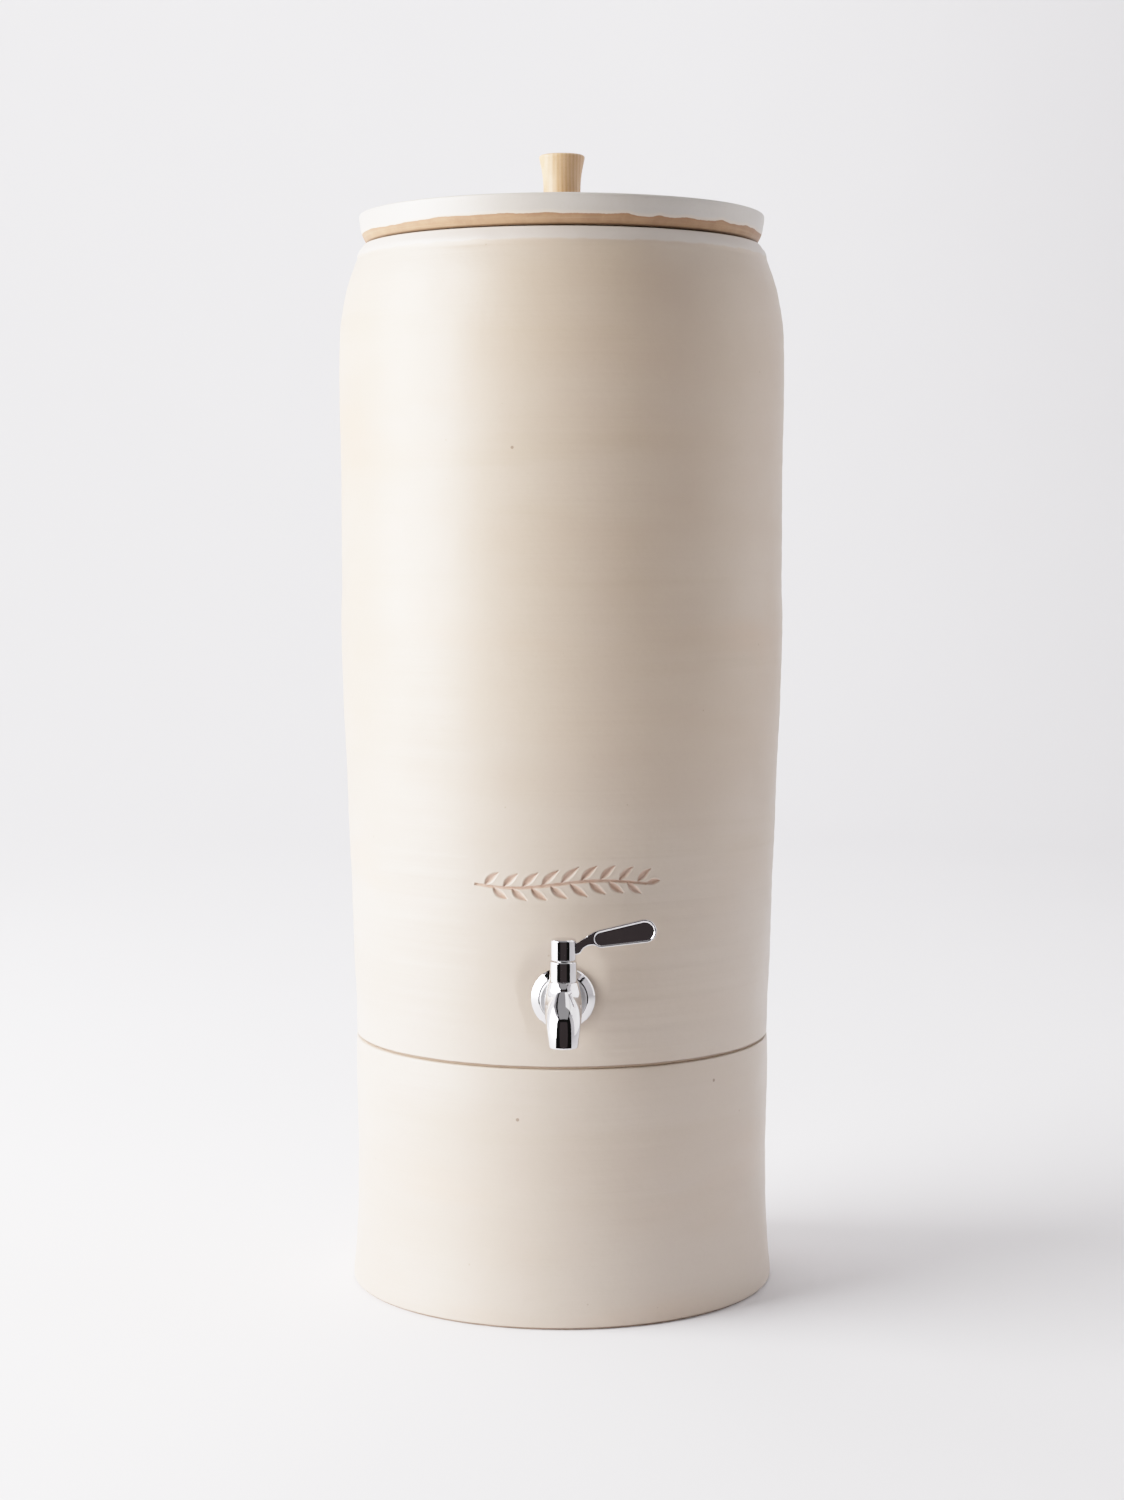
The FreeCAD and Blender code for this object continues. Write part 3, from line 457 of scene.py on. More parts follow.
def glaze_bump(look, fine):
    peel = look.noise(210, 2, 0.5)
    ripple = look.noise(1.0, 3, 0.55, look.scaled((3, 3, 190.0)), 0.1)
    n = look.bump(ripple, 0.00032, 0.55)
    n = look.bump(peel, 0.00012, 0.55, n)
    return look.bump(fine, 0.00004, 0.6, n)


def stoneware_body():
    look, colour, fine, z = body_glaze("stoneware_body_glaze")
    edge_noise = look.noise(70, 3, 0.6)
    # the glaze is paler along the rim, and this pale band is partly a painted highlight on the
    # rounded lip
    rim = look.remap(
        look.math("ADD", look.attribute("rim"), look.math("MULTIPLY",
                  look.math("SUBTRACT", edge_noise, 0.5), 0.9)), 0.35, 0.75)
    colour = look.mix(look.math("MULTIPLY", rim, 0.62), colour, (0.625, 0.575, 0.535))
    # thin dark line along the lower edges: toasted clay where the glaze runs off, darkened
    # further as painted shade in the seam between crock and stand and where the stand meets the
    # floor; bare clay under the foot
    edge = look.math("ADD", look.attribute("edge"), look.math(
        "MULTIPLY", look.math("SUBTRACT", edge_noise, 0.5), 0.8))
    colour = look.mix(look.remap(edge, 0.40, 0.80, 0.0, 0.8), colour,
                      (0.20, 0.125, 0.080))
    bare = look.attribute("bare")
    colour = look.mix(bare, colour, (0.42, 0.30, 0.21))
    cut = look.attribute("cut")
    groove_noise = look.noise(160, 3, 0.6)
    groove = look.mix(look.remap(groove_noise, 0.35, 0.7), (0.50, 0.32, 0.235),
                      (0.60, 0.43, 0.34))
    # the deepest part of each cut is darker: painted shade in the grooves
    deep = look.remap(cut, 0.55, 1.0)
    groove = look.mix(look.math("MULTIPLY", deep, 0.35), groove, (0.44, 0.265, 0.185))
    colour = look.mix(look.remap(cut, 0.08, 0.42), colour, groove)
    rough = look.remap(look.noise(36, 3, 0.6), 0.3, 0.7, 0.37, 0.48)
    rough = look.math("ADD", rough, look.math("MULTIPLY", bare, 0.35))
    rough = look.math("ADD", rough, look.math("MULTIPLY", cut, 0.14))
    return look.out(Base_Color=colour, Roughness=rough, Normal=glaze_bump(look, fine))


def stoneware_white():
    look, colour, fine, z = body_glaze("stoneware_white_glaze", white=True)
    above = look.attribute("above")  # mm above the lower border of the glaze
    jag = look.math("MULTIPLY", look.math("SUBTRACT", look.noise(420, 3, 0.6), 0.5), 0.7)
    level = look.math("ADD", above, jag)
    glazed = look.remap(level, -0.10, 0.18)
    clay = look.mix(look.remap(look.noise(90, 4, 0.65), 0.32, 0.68), CLAY,
                    (0.39, 0.215, 0.105))
    streak = look.noise(1.0, 3, 0.6, look.scaled((14, 14, 900)))
    clay = look.mix(look.math("MULTIPLY", look.remap(streak, 0.5, 0.7), 0.5), clay,
                    (0.43, 0.270, 0.140))
    # burnt line right under the border; the darker lowest edge is painted shadow where the lid
    # sits on the crock
    burn = look.math("MULTIPLY", look.remap(level, -1.6, -0.1), 0.75)
    clay = look.mix(burn, clay, (0.33, 0.165, 0.075))
    clay = look.mix(look.math("MULTIPLY", look.remap(look.attribute("low"), 0.2, 0.9),
                              0.85), clay, (0.12, 0.065, 0.025))
    halo = look.math("MULTIPLY", look.remap(level, 2.2, 0.1), 0.55)
    colour = look.mix(halo, colour, (0.72, 0.585, 0.44))
    colour = look.mix(glazed, clay, colour)
    rough = look.math("ADD", look.math("MULTIPLY", glazed, -0.30), 0.68)
    n = glaze_bump(look, fine)
    grit = look.noise(900, 3, 0.7)
    n = look.bump(look.math("MULTIPLY", grit, look.math("SUBTRACT", 1.0, glazed)),
                  0.00018, 0.7, n)
    return look.out(Base_Color=colour, Roughness=rough, Normal=n)


def chrome():
    look = Look("polished_chrome", Metallic=1.0, Roughness=0.05)
    haze = look.noise(130, 4, 0.6)
    rough = look.remap(haze, 0.35, 0.75, 0.035, 0.085)
    tint = look.mix(look.remap(look.noise(60, 2, 0.5), 0.3, 0.7),
                    (0.71, 0.70, 0.72), (0.78, 0.77, 0.775))
    n = look.bump(look.noise(240, 2, 0.5), 0.000012, 0.35)
    return look.out(Base_Color=tint, Roughness=rough, Normal=n)


def satin_chrome():
    look = Look("satin_chrome", Metallic=1.0, Roughness=0.2)
    fine = look.noise(1500, 3, 0.6)
    rough = look.remap(look.noise(150, 3, 0.6), 0.3, 0.7, 0.40, 0.50)
    n = look.bump(fine, 0.00001, 0.4)
    return look.out(Base_Color=(0.55, 0.545, 0.555, 1.0), Roughness=rough, Normal=n)


def steel():
    look = Look("stainless_steel", Metallic=1.0, Roughness=0.3)
    line = look.noise(1.0, 4, 0.6, look.scaled((900, 900, 2600)))
    rough = look.remap(line, 0.3, 0.7, 0.24, 0.38)
    n = look.bump(line, 0.00002, 0.5)
    tint = look.mix(look.noise(80, 2, 0.5), (0.52, 0.52, 0.53), (0.64, 0.635, 0.63))
    return look.out(Base_Color=tint, Roughness=rough, Normal=n)


def brass():
    look = Look("plain_brass", Metallic=1.0, Roughness=0.28)
    tint = look.mix(look.noise(90, 3, 0.6), (0.70, 0.50, 0.22), (0.80, 0.62, 0.34))
    return look.out(Base_Color=tint,
                    Roughness=look.remap(look.noise(300, 3, 0.6), 0.3, 0.7, 0.2, 0.36))


def plain(name, a, b, rough, scale=120, bump=0.00003, **sockets):
    look = Look(name, Roughness=rough, **sockets)
    grain = look.noise(scale, 4, 0.6)
    tint = look.mix(look.remap(grain, 0.3, 0.7), a, b)
    r = look.remap(look.noise(scale * 0.7, 3, 0.6), 0.3, 0.7, rough - 0.05, rough + 0.07)
    n = look.bump(look.noise(scale * 7, 2, 0.5), bump, 0.6)
    return look.out(Base_Color=tint, Roughness=r, Normal=n)


def candle_ceramic():
    look = Look("porous_ceramic", Roughness=0.82)
    a = look.noise(60, 4, 0.6)
    tint = look.mix(look.remap(a, 0.3, 0.7), (0.80, 0.78, 0.72), (0.88, 0.865, 0.82))
    pores = speck_mask(look, 0.0042, 0.0004, 0.5, 5.0)
    tint = look.mix(look.math("MULTIPLY", pores, 0.4), tint, (0.50, 0.46, 0.38))
    n = look.bump(look.noise(1100, 3, 0.7), 0.00008, 0.7)
    return look.out(Base_Color=tint, Normal=n)


def wood():
    look = Look("turned_wood", Roughness=0.45, IOR=1.45)
    look.b.inputs["Coat Weight"].default_value = 0.12
    look.b.inputs["Coat Roughness"].default_value = 0.4
    warp = look.noise(30, 2, 0.5)
    x, y, z = look.separate()[:3]
    # growth rings of a blank cut well away from the heart, running up the knob
    dx = look.math("ADD", x, 0.075)
    dy = look.math("ADD", y, 0.03)
    radius = look.math("SQRT", look.math("ADD", look.math("MULTIPLY", dx, dx),
                                         look.math("MULTIPLY", dy, dy)))
    radius = look.math("ADD", radius, look.math("MULTIPLY", warp, 0.0022))
    radius = look.math("ADD", radius, look.math("MULTIPLY", z, 0.035))
    wave = look.math("SINE", look.math("MULTIPLY", radius, 2900.0))
    ring = look.remap(wave, -0.9, 1.0)
    colour = look.mix(ring, (0.71, 0.435, 0.235), (0.61, 0.335, 0.155))
    fibre = look.noise(1.0, 5, 0.65, look.scaled((1500, 1500, 60)))
    colour = look.mix(look.math("MULTIPLY", look.remap(fibre, 0.45, 0.75), 0.45),
                      colour, (0.46, 0.26, 0.13))
    flame = look.noise(1.0, 3, 0.5, look.scaled((60, 60, 24)))
    colour = look.mix(look.math("MULTIPLY", look.remap(flame, 0.45, 0.7), 0.35), colour,
                      (0.77, 0.53, 0.32))
    pores = look.noise(1.0, 2, 0.5, look.scaled((3800, 3800, 200)))
    colour = look.mix(look.math("MULTIPLY", look.remap(pores, 0.62, 0.72), 0.5), colour,
                      (0.33, 0.17, 0.08))
    n = look.bump(look.math("SUBTRACT", fibre, look.math("MULTIPLY", pores, 0.5)),
                  0.00006, 0.5)
    rough = look.remap(fibre, 0.3, 0.7, 0.36, 0.52)
    return look.out(Base_Color=colour, Roughness=rough, Normal=n)


MAT = {
    "body": stoneware_body(),
    "white": stoneware_white(),
    "chrome": chrome(),
    "satin": satin_chrome(),
    "steel": steel(),
    "brass": brass(),
    "wood": wood(),
    "candle": candle_ceramic(),
    "rubber": plain("black_rubber", (0.022, 0.022, 0.023), (0.04, 0.04, 0.042), 0.6),
    "silicone": plain("white_silicone", (0.70, 0.69, 0.66), (0.76, 0.75, 0.72), 0.45),
    "plastic": plain("white_plastic", (0.78, 0.775, 0.75), (0.82, 0.815, 0.79), 0.38,
                     bump=0.00002),
    "ptfe": plain("white_sleeve", (0.82, 0.82, 0.81), (0.86, 0.86, 0.85), 0.35),
    "carbon": plain("carbon_block", (0.018, 0.018, 0.019), (0.04, 0.04, 0.04), 0.85,
                    scale=500, bump=0.0001),
}


def dress(obj, mat):
    obj.data.materials.clear()
    obj.data.materials.append(MAT[mat])


def place(obj, mat, slot, body, *nodes):
    dress(obj, mat)
    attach(obj, body)
    if nodes:
        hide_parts(*nodes)
    return obj


# ------------------------------------------------------------------ hand-thrown shapes


def wobble(TH, Z, seed, amount):
    """Slow out-of-round of a thrown pot, in mm."""
    g = np.random.default_rng(seed)
    total = np.zeros_like(TH)
    for k, a in ((1, 0.35), (2, 1.0), (3, 0.55), (4, 0.3), (5, 0.2), (7, 0.12)):
        ph, f, q = g.uniform(0, TAU), g.uniform(0.006, 0.016), g.uniform(0, TAU)
        total += a * np.cos(k * TH + ph + 1.1 * np.sin(f * Z + q))
    return total * amount / 1.6


def throwing(TH, Z, seed, amount):
    """Spiral finger marks of the wheel, in mm."""
    g = np.random.default_rng(seed)
    zz = Z + 2.6 * TH / TAU
    total = np.zeros_like(Z)
    for pitch, a in ((5.2, 0.35), (8.7, 0.8), (13.3, 1.0), (23.0, 0.9), (3.1, 0.16)):
        ph, f, q = g.uniform(0, TAU), g.uniform(0.02, 0.05), g.uniform(0, TAU)
        total += a * np.sin(TAU * zz / pitch + ph + 1.4 * np.sin(f * Z + q)
                            + 0.5 * np.sin(TH + q))
    return total * amount / 2.0


def around(seed, TH, octaves, amount):
    """Smooth periodic noise along a ring."""
    g = np.random.default_rng(seed)
    total = np.zeros_like(TH)
    for k, a in octaves:
        total += a * np.cos(k * TH + g.uniform(0, TAU))
    return total * amount


# the carved sprig: a gently waved stem with paired leaves, symmetric in spirit
def sprig():
    strokes = []

    def stem(u):
        return 238.2 + 2.0 * np.sin(u / 47.0 * math.pi * 1.0 + 0.3)

    us = np.linspace(-47, 45, 47)
    strokes.append((np.c_[us, stem(us)],
                    0.75 + 0.35 * np.sin(np.linspace(0.25, math.pi - 0.1, 47))))
    for n, u0 in enumerate(np.arange(-41.5, 41, 10.2)):
        size = 11.2 - 2.2 * abs(n - 3.9) / 4.0
        for side in (1, -1):
            root = u0 + (0.0 if side > 0 else 4.6)
            if root > 44:
                continue
            t = np.linspace(0, 1, 13)
            length = size * (1.0 if side > 0 else 0.92)
            ang = math.radians(52 if side > 0 else 46)
            lean = t * length
            curl = 0.16 * (t ** 2) * length
            uu = root + lean * math.cos(ang) + curl * math.sin(ang) * 1.3
            vv = stem(root) + side * (0.9 + lean * math.sin(ang) - curl * 0.6)
            width = 1.95 * np.sin(math.pi * np.clip(t, 0.03, 0.97) ** 0.85) + 0.12
            strokes.append((np.c_[uu, vv], width))
    t = np.linspace(0, 1, 11)
    strokes.append((np.c_[45.0 + 7.5 * t, stem(45.0) + 1.2 * np.sin(t * 1.6)],
                    1.7 * np.sin(math.pi * np.clip(t, 0.03, 0.97)) + 0.12))
    return strokes


def carve(U, V):
    """Depth share (0..1) of the carving at arc length U and height V, in mm."""
    best = np.full(U.shape, 9.0)
    near = (np.abs(U) < 58) & (V > 222) & (V < 256)
    P = np.stack([U[near], V[near]], -1)
    got = np.full(len(P), 9.0)
    for pts, width in sprig():
        for a, b, wa, wb in zip(pts[:-1], pts[1:], width[:-1], width[1:]):
            ab = b - a
            t = np.clip(((P - a) @ ab) / (ab @ ab), 0, 1)
            d = np.linalg.norm(P - a - t[:, None] * ab, axis=1)
            w = wa + (wb - wa) * t
            got = np.minimum(got, np.where(w > 0.2, d / w, 9.0))
    best[near] = got
    return best


# ------------------------------------------------------------------ crock

OUTER = [
    (116.15, 142.6), (116.5, 150), (116.6, 160), (117.1, 169), (117.6, 178),
    (118.0, 191), (118.6, 214), (119.1, 232), (120.0, 251), (120.6, 269),
    (121.1, 287), (121.9, 305), (122.8, 323), (123.3, 341), (123.8, 359),
    (123.95, 374), (123.65, 385), (123.35, 394), (123.45, 410), (123.45, 439),
    (123.5, 457), (123.8, 474), (124.15, 492), (124.2, 510), (124.0, 524),
    (123.35, 536), (122.0, 545), (120.3, 554), (117.6, 563), (114.6, 571),
    (113.2, 574.9), (111.6, 578.0),
]

foot = rounded([(0, 146.2, 0), (102.5, 146.2, 0), (104.5, 144.2, 1.5), (104.5, 140.2, 0.6),
                (105.4, 139.65, 0.5), (114.6, 139.62, 1.5), (116.15, 141.2, 1.2),
                (116.15, 142.6, 0)], n=4)
rim = rounded([(111.6, 578.0, 0), (110.2, 580.25, 1.6), (105.6, 580.3, 0.7),
               (104.95, 579.5, 0.4), (104.95, 574.95, 0.5), (99.5, 574.95, 0.8),
               (99.5, 566.0, 6), (107.5, 547.0, 20), (114.7, 521.0, 20),
               (114.6, 400.0, 20), (112.1, 300, 20), (107.5, 164.0, 5),
               (99.5, 156.2, 7.5), (0, 156.2, 0)], n=5)


def crock_spacing(r, z):
    s = np.full(r.shape, 3.0)
    s = np.where((z > 150) & (z < 212), 1.25, s)
    s = np.where((z >= 212) & (z < 221), 0.9, s)
    s = np.where((z >= 221) & (z < 257), 0.42, s)
    s = np.where((z >= 257) & (z < 262), 0.9, s)
    s = np.where(z > 562, 1.4, s)
    return s


outer = resample(spline(OUTER), crock_spacing)
curve = np.vstack([foot, outer[1:-1], rim])
o0, o1 = len(foot), len(foot) + len(outer) - 2
front = math.radians(27.5)
thetas = np.concatenate([
    np.arange(-front, front, 0.42 / 119.0),
    np.arange(front, TAU - front, math.radians(1.5)),
])


def crock_shape(R, Z, TH):
    TH = (TH + math.pi) % TAU - math.pi
    skin = np.zeros(R.shape)
    skin[o0:o1] = 1.0
    fade = skin * smoothstep(141, 160, Z) * smoothstep(579, 566, Z)
    R = R + fade * (wobble(TH, Z, 11, 0.42) + throwing(TH, Z, 5, 0.085))
    # soft swelling of the pooled glaze under the lid, a little lumpy
    lump = around(31, TH, ((9, 1), (17, .8), (26, .6), (41, .5)), 0.10)
    belt = skin * smoothstep(572.2 , 574.6, Z + around(8, TH, ((5, 1), (11, .6)), .5))
    R = R + belt * (0.35 + lump) * smoothstep(580, 577, Z)
    crease = skin * np.exp(-((Z - 571.9 - around(9, TH, ((4, 1), (13, .5)), .5)) / 1.0) ** 2)
    R = R - crease * (0.28 + around(77, TH, ((3, 1), (8, 1), (19, .6)), 0.12))
    d = carve(TH * 119.0, Z)
    cut = skin * np.clip(1.0 - smoothstep(0.25, 1.08, d), 0, 1)
    lip = skin * np.exp(-((d - 1.22) / 0.22) ** 2) * 0.10
    R = R - 1.15 * cut + lip
    X, Y = R * np.sin(TH), -R * np.cos(TH)
    # the wall is pressed flat round the tap
    dist = np.hypot(X, Z - 178.0)
    flat = skin * smoothstep(33.0, 17.4, dist) * (np.abs(TH) < 1)
    Y = Y * (1 - flat) + flat * np.maximum(Y, -115.35)
    under = np.zeros(R.shape)
    under[: o0 - 3] = 1.0
    inner_bare = np.zeros(R.shape)
    edge = skin * 0.0
    # edge mask: the crock's lower outer corner at the seam, toasted clay plus painted seam
    # shade
    edge[: o0] = smoothstep(142.1, 140.9, Z[: o0]) * (R[: o0] > 110)
    # rim mask: the band under the lid and the inner rim, which take the paler glaze and the
    # painted highlight
    rimmed = skin * smoothstep(571.0, 575.5, Z)
    rimmed[o1:] = smoothstep(560, 575, Z[o1:])
    return R, Z, {"cut": cut, "edge": edge, "bare": under * (Z < 140.4) + inner_bare,
                  "rim": rimmed}, X, Y


crock = turned("crock_skin", curve, thetas=thetas, shape=crock_shape)
place(crock, "body", "stoneware_body", "reservoir", "crock")

# ------------------------------------------------------------------ stand

STAND = [
    (118.75, 3.2), (118.75, 7.4), (118.2, 12), (117.6, 21), (117.0, 31), (116.5, 40),
    (116.3, 52), (116.15, 67), (116.0, 77), (116.3, 95), (116.65, 114),
    (116.75, 125), (116.6, 133), (116.45, 137.0),
]
s_foot = rounded([(106.5, 1.4, 0), (107.7, 0, 0.6), (117.2, 0, 1.6), (118.75, 1.6, 1.5),
                  (118.75, 3.2, 0)], n=5)
s_deck = rounded([(116.45, 137.0, 0), (116.35, 139.35, 1.5), (114.6, 139.6, 0.6),
                  (101.5, 139.6, 0.4), (100.9, 143.6, 0.8), (97.6, 143.6, 0.8),
                  (97.0, 139.6, 0.4), (71.8, 139.6, 0), (70.2, 138.9, 1.0),
                  (70.0, 137.6, 0), (70.0, 129.8, 0.8), (100.5, 129.6, 5.5),
                  (106.5, 123.6, 5.5), (106.5, 1.4, 0)], n=5)
outer = resample(spline(STAND), lambda r, z: np.full(r.shape, 2.2))
curve = np.vstack([s_foot, outer[1:-1], s_deck[:-1]])
t0, t1 = len(s_foot), len(s_foot) + len(outer) - 2


def stand_shape(R, Z, TH):
    skin = np.zeros(R.shape)
    skin[t0:t1] = 1.0
    fade = skin * smoothstep(1.5, 14, Z) * smoothstep(139.6, 128, Z)
    R = R + fade * (wobble(TH, Z, 23, 0.36) + throwing(TH, Z, 9, 0.07))
    edge = skin * 0.0
    # edge mask: the stand's lowest corner, toasted clay plus painted shade where it meets the
    # floor
    edge[:t0] = smoothstep(1.9, 0.9, Z[:t0]) * smoothstep(114, 117, R[:t0])
    bare = np.zeros(R.shape)
    bare[:t0] = smoothstep(0.7, 0.1, Z[:t0])
    bare[t1 + 9:] = 0.0
    return R, Z, {"cut": R * 0, "edge": edge, "bare": bare, "rim": R * 0}


stand = turned("stand_skin", curve, cols=300, shape=stand_shape, closed=True)
place(stand, "body", "stoneware_body", "stand", "stand_ring")

# ------------------------------------------------------------------ lid

LID_SIDE = [(108.25, 581.05), (109.6, 583.2), (110.85, 585.6), (111.4, 588), (111.75, 590.4),
            (112.15, 592.6), (112.4, 594.4)]
lid_low = rounded([(3.0, 586.0, 0), (74, 586.0, 0), (77.0, 583.5, 2.5), (77.0, 571.0, 1.0),
                   (85.0, 571.0, 1.0), (85.0, 581.0, 0.8), (107.4, 581.0, 0.4),
                   (108.25, 581.05, 0)], n=5)
lid_top = rounded([(112.4, 594.4, 0), (112.45, 597.0, 1.7), (104.0, 597.05, 3),
                   (60.0, 596.9, 8), (14.0, 597.0, 4), (3.0, 597.0, 0)], n=7)
lid_top = resample(lid_top, lambda r, z: np.where(r > 106, 0.45, 2.0))
side = resample(spline(LID_SIDE), lambda r, z: np.full(r.shape, 0.55))
curve = np.vstack([lid_low, side[1:-1], lid_top])
l0, l1 = len(lid_low), len(lid_low) + len(side) - 2


def border(TH):
    """Height of the glaze's wavy lower border on the lid."""
    TH = (TH + math.pi) % TAU - math.pi
    z = 586.15 + around(3, TH, ((3, .28), (5, .22), (8, .18), (13, .16), (21, .13),
                                (34, .10), (55, .06)), 1.0)
    for at, wide, high in ((0.30, .045, .55), (0.47, .03, 1.05), (0.62, .05, .5),
                           (0.86, .05, .75), (1.10, .04, .6), (-0.1, .08, .4),
                           (-0.55, .07, .45), (-1.1, .06, .5), (2.0, .05, .7),
                           (2.6, .06, .6), (-2.2, .05, .7), (-2.9, .05, .5)):
        z = z + high * np.exp(-((TH - at) / wide) ** 2)
    return z


def lid_shape(R, Z, TH):
    side_rows = np.zeros(R.shape)
    side_rows[l0:l1] = 1.0
    all_out = np.zeros(R.shape)
    all_out[l0:l1 + 8] = 1.0
    above = Z - border(TH)
    above[l1:] = 9.0
    above[:l0] = -6.0
    R = R + all_out * wobble(TH, Z * 0 + 3, 41, 0.28)
    R = R + side_rows * 0.22 * smoothstep(-0.35, 0.6, above)
    R[l1:l1 + 6] += 0.22 * 1.0
    R = R + side_rows * throwing(TH, Z, 19, 0.03)
    top = np.zeros(R.shape)
    top[l1 + 6:] = 1.0
    Z = Z + top * 0.10 * np.sin(R * TAU / 7.3 + TH * 1.0) * smoothstep(14, 30, R) \
        * smoothstep(110, 100, R)
    Z = Z + (all_out + top > 0) * wobble(TH, Z * 0, 43, 0.16) * smoothstep(583, 596, Z) \
        * smoothstep(20, 90, R)
    # low mask: the lowest band of the side and the outer underside, which carry the painted
    # shadow where the lid sits on the crock
    low = side_rows * smoothstep(582.6, 581.2, Z)
    low[:l0] = 1.0 * (R[:l0] > 100)
    return R, Z, {"above": above, "low": low}


lid = turned("lid_skin", curve, cols=420, shape=lid_shape, closed=True)
place(lid, "white", "stoneware_white", "lid_set", "lid")

# ------------------------------------------------------------------ filter chamber

cham = rounded([(0, 352.0, 0), (88.0, 352.0, 0), (95.0, 359.0, 6.5), (95.0, 571.0, 3),
                (99.0, 575.0, 0.5), (104.3, 575.0, 0.9), (104.3, 581.0, 0.9),
                (86.5, 581.0, 1.5), (86.5, 361.0, 6.0), (0, 361.0, 0)], n=5)
cham = resample(cham, lambda r, z: np.where((z < 570) & (z > 362), 3.0, 1.6))


def chamber_shape(R, Z, TH):
    wall_out = (R > 90) * smoothstep(360, 372, Z) * smoothstep(566, 560, Z)
    wall_in = (R < 90) * (R > 80) * smoothstep(370, 380, Z) * smoothstep(572, 566, Z)
    t = throwing(TH, Z, 29, 0.12)
    R = R + wall_out * t * 0.7 - wall_in * np.abs(t) * 0.7
    zero = R * 0
    return R, Z, {"above": zero + 9.0, "low": zero}


chamber = turned("chamber_skin", cham, cols=200, shape=chamber_shape)
place(chamber, "white", "stoneware_white", "chamber", "filter_chamber")

# ------------------------------------------------------------------ knob

knob = spline([(11.6, 597.1), (11.25, 599.0), (10.8, 602.5), (10.5, 606.5), (10.4, 611.0),
               (10.5, 615.0), (10.85, 619.0), (11.45, 623.0), (12.15, 626.4),
               (12.6, 628.6)], n=6)
knob_top = rounded([(12.6, 628.6, 0), (12.85, 630.0, 1.5), (11.6, 630.75, 0.9),
                    (6.0, 631.35, 3.0), (0, 631.5, 0)], n=6)
knob = np.vstack([rounded([(0, 597.1, 0), (10.9, 597.1, 0), (11.6, 597.1, 0)]), knob,
                  knob_top[1:]])


def knob_shape(R, Z, TH):
    R = R * (1 + 0.004 * np.cos(2 * TH + 0.4) * (R > 8))
    R = R + (R > 8) * 0.03 * np.sin(Z * TAU / 2.3) * smoothstep(598, 602, Z)
    return R, Z, {}


obj = turned("knob_turned", knob, cols=160, shape=knob_shape)
place(obj, "wood", "turned_wood", "lid_set", "knob")

# ------------------------------------------------------------------ tap

WALL = 115.1
flange = rounded([(8.0, 116.7, 0), (16.2, 116.7, 0), (16.85, 117.2, 0.4),
                  (16.85, 118.1, 0.5), (16.1, 118.9, 0.45), (13.15, 120.75, 0.35),
                  (12.75, 120.95, 0.2), (8.0, 120.95, 0)], n=6, support=0.12)
obj = turned("tap_flange_plate", flange, cols=220, closed=True, origin=(0, 0, 178),
             along="-Y")
place(obj, "chrome", "chrome", "reservoir", "tap_flange")

boss = rounded([(8.0, 120.9, 0), (12.35, 120.9, 0.1), (12.35, 122.9, 0.5),
                (11.9, 123.3, 0.3), (9.4, 123.45, 1.4), (8.0, 125.6, 0)], n=6, support=0.1)
obj = turned("tap_boss", boss, cols=200, closed=True, origin=(0, 0, 178), along="-Y")
place(obj, "satin", "chrome", "reservoir")
parts_of_body = [obj]

V = np.array([0.0, -141.0, 178.0])


def tap_field(P):
    x, y, z = P[:, 0], P[:, 1], P[:, 2]
    # barrel from the boss to the valve
    barrel = smax(np.hypot(x, z - 178.0) - 7.75, np.maximum(y + 122.0, -y - 141.0), 0.5)
    # valve housing: swells from the bonnet down to its widest place, then closes
    rr = np.hypot(x, y + 141.0)
    wide = np.interp(z, HOUSE_Z, HOUSE_R)
    body = np.maximum(rr - wide, z - 190.78)
    body = smax(body, 168.2 - z, 4.0)
    body = smin(body, barrel, 2.2)
    # spout: an oval tube that leans out of the housing and narrows to the lip
    yc = np.interp(z, SPOUT_Z, SPOUT_Y)
    rx = np.interp(z, SPOUT_Z, SPOUT_RX)
    ry = np.interp(z, SPOUT_Z, SPOUT_RY)
    q = np.sqrt((x / rx) ** 2 + ((y + yc) / ry) ** 2)
    tube = (q - 1.0) * np.minimum(rx, ry) * 0.93
    tube = smax(tube, z - 189.6, 3.0)
    body = smin(body, tube, 2.0)
    # the lip is cut level, and its opening is bored
    body = smax(body, 159.4 - z, 0.6)
    bore = np.maximum(np.hypot(x, y + 158.0) - 5.5, z - 168.0)
    return smax(body, -bore, 0.6)


def dense(zs, values):
    """A smooth table through a few sizes along a height, both ends level."""
    curve = spline(np.c_[values, zs], n=24)
    return curve[:, 1], curve[:, 0]


HOUSE_Z, HOUSE_R = dense([164.0, 170.0, 174.0, 178.0, 182.0, 186.0, 189.0, 191.5],
                         [9.0, 9.35, 9.55, 9.6, 9.4, 8.75, 7.95, 7.3])
SPOUT_Z, SPOUT_RX = dense([157.0, 159.4, 163.0, 167.0, 171.0, 175.0, 179.0, 183.0, 187.0],
                          [7.3, 7.45, 7.9, 8.5, 9.0, 9.2, 8.75, 7.3, 5.0])
SPOUT_RY = np.interp(SPOUT_Z, *dense(
    [157.0, 159.4, 163.0, 167.0, 171.0, 175.0, 179.0, 183.0, 187.0],
    [7.2, 7.3, 7.55, 8.3, 9.5, 10.6, 10.8, 9.8, 7.8]))
SPOUT_Y = np.interp(SPOUT_Z, *dense(
    [157.0, 159.4, 163.0, 167.0, 171.0, 175.0, 179.0, 183.0, 187.0],
    [158.0, 158.0, 157.7, 156.6, 154.5, 151.8, 148.6, 145.6, 143.0]))


obj = surface("tap_casting", tap_field, (-11.5, -168.5, 156.5), (11.5, -120.0, 192.5), 0.40)
place(obj, "chrome", "chrome", "reservoir")
parts_of_body.append(obj)

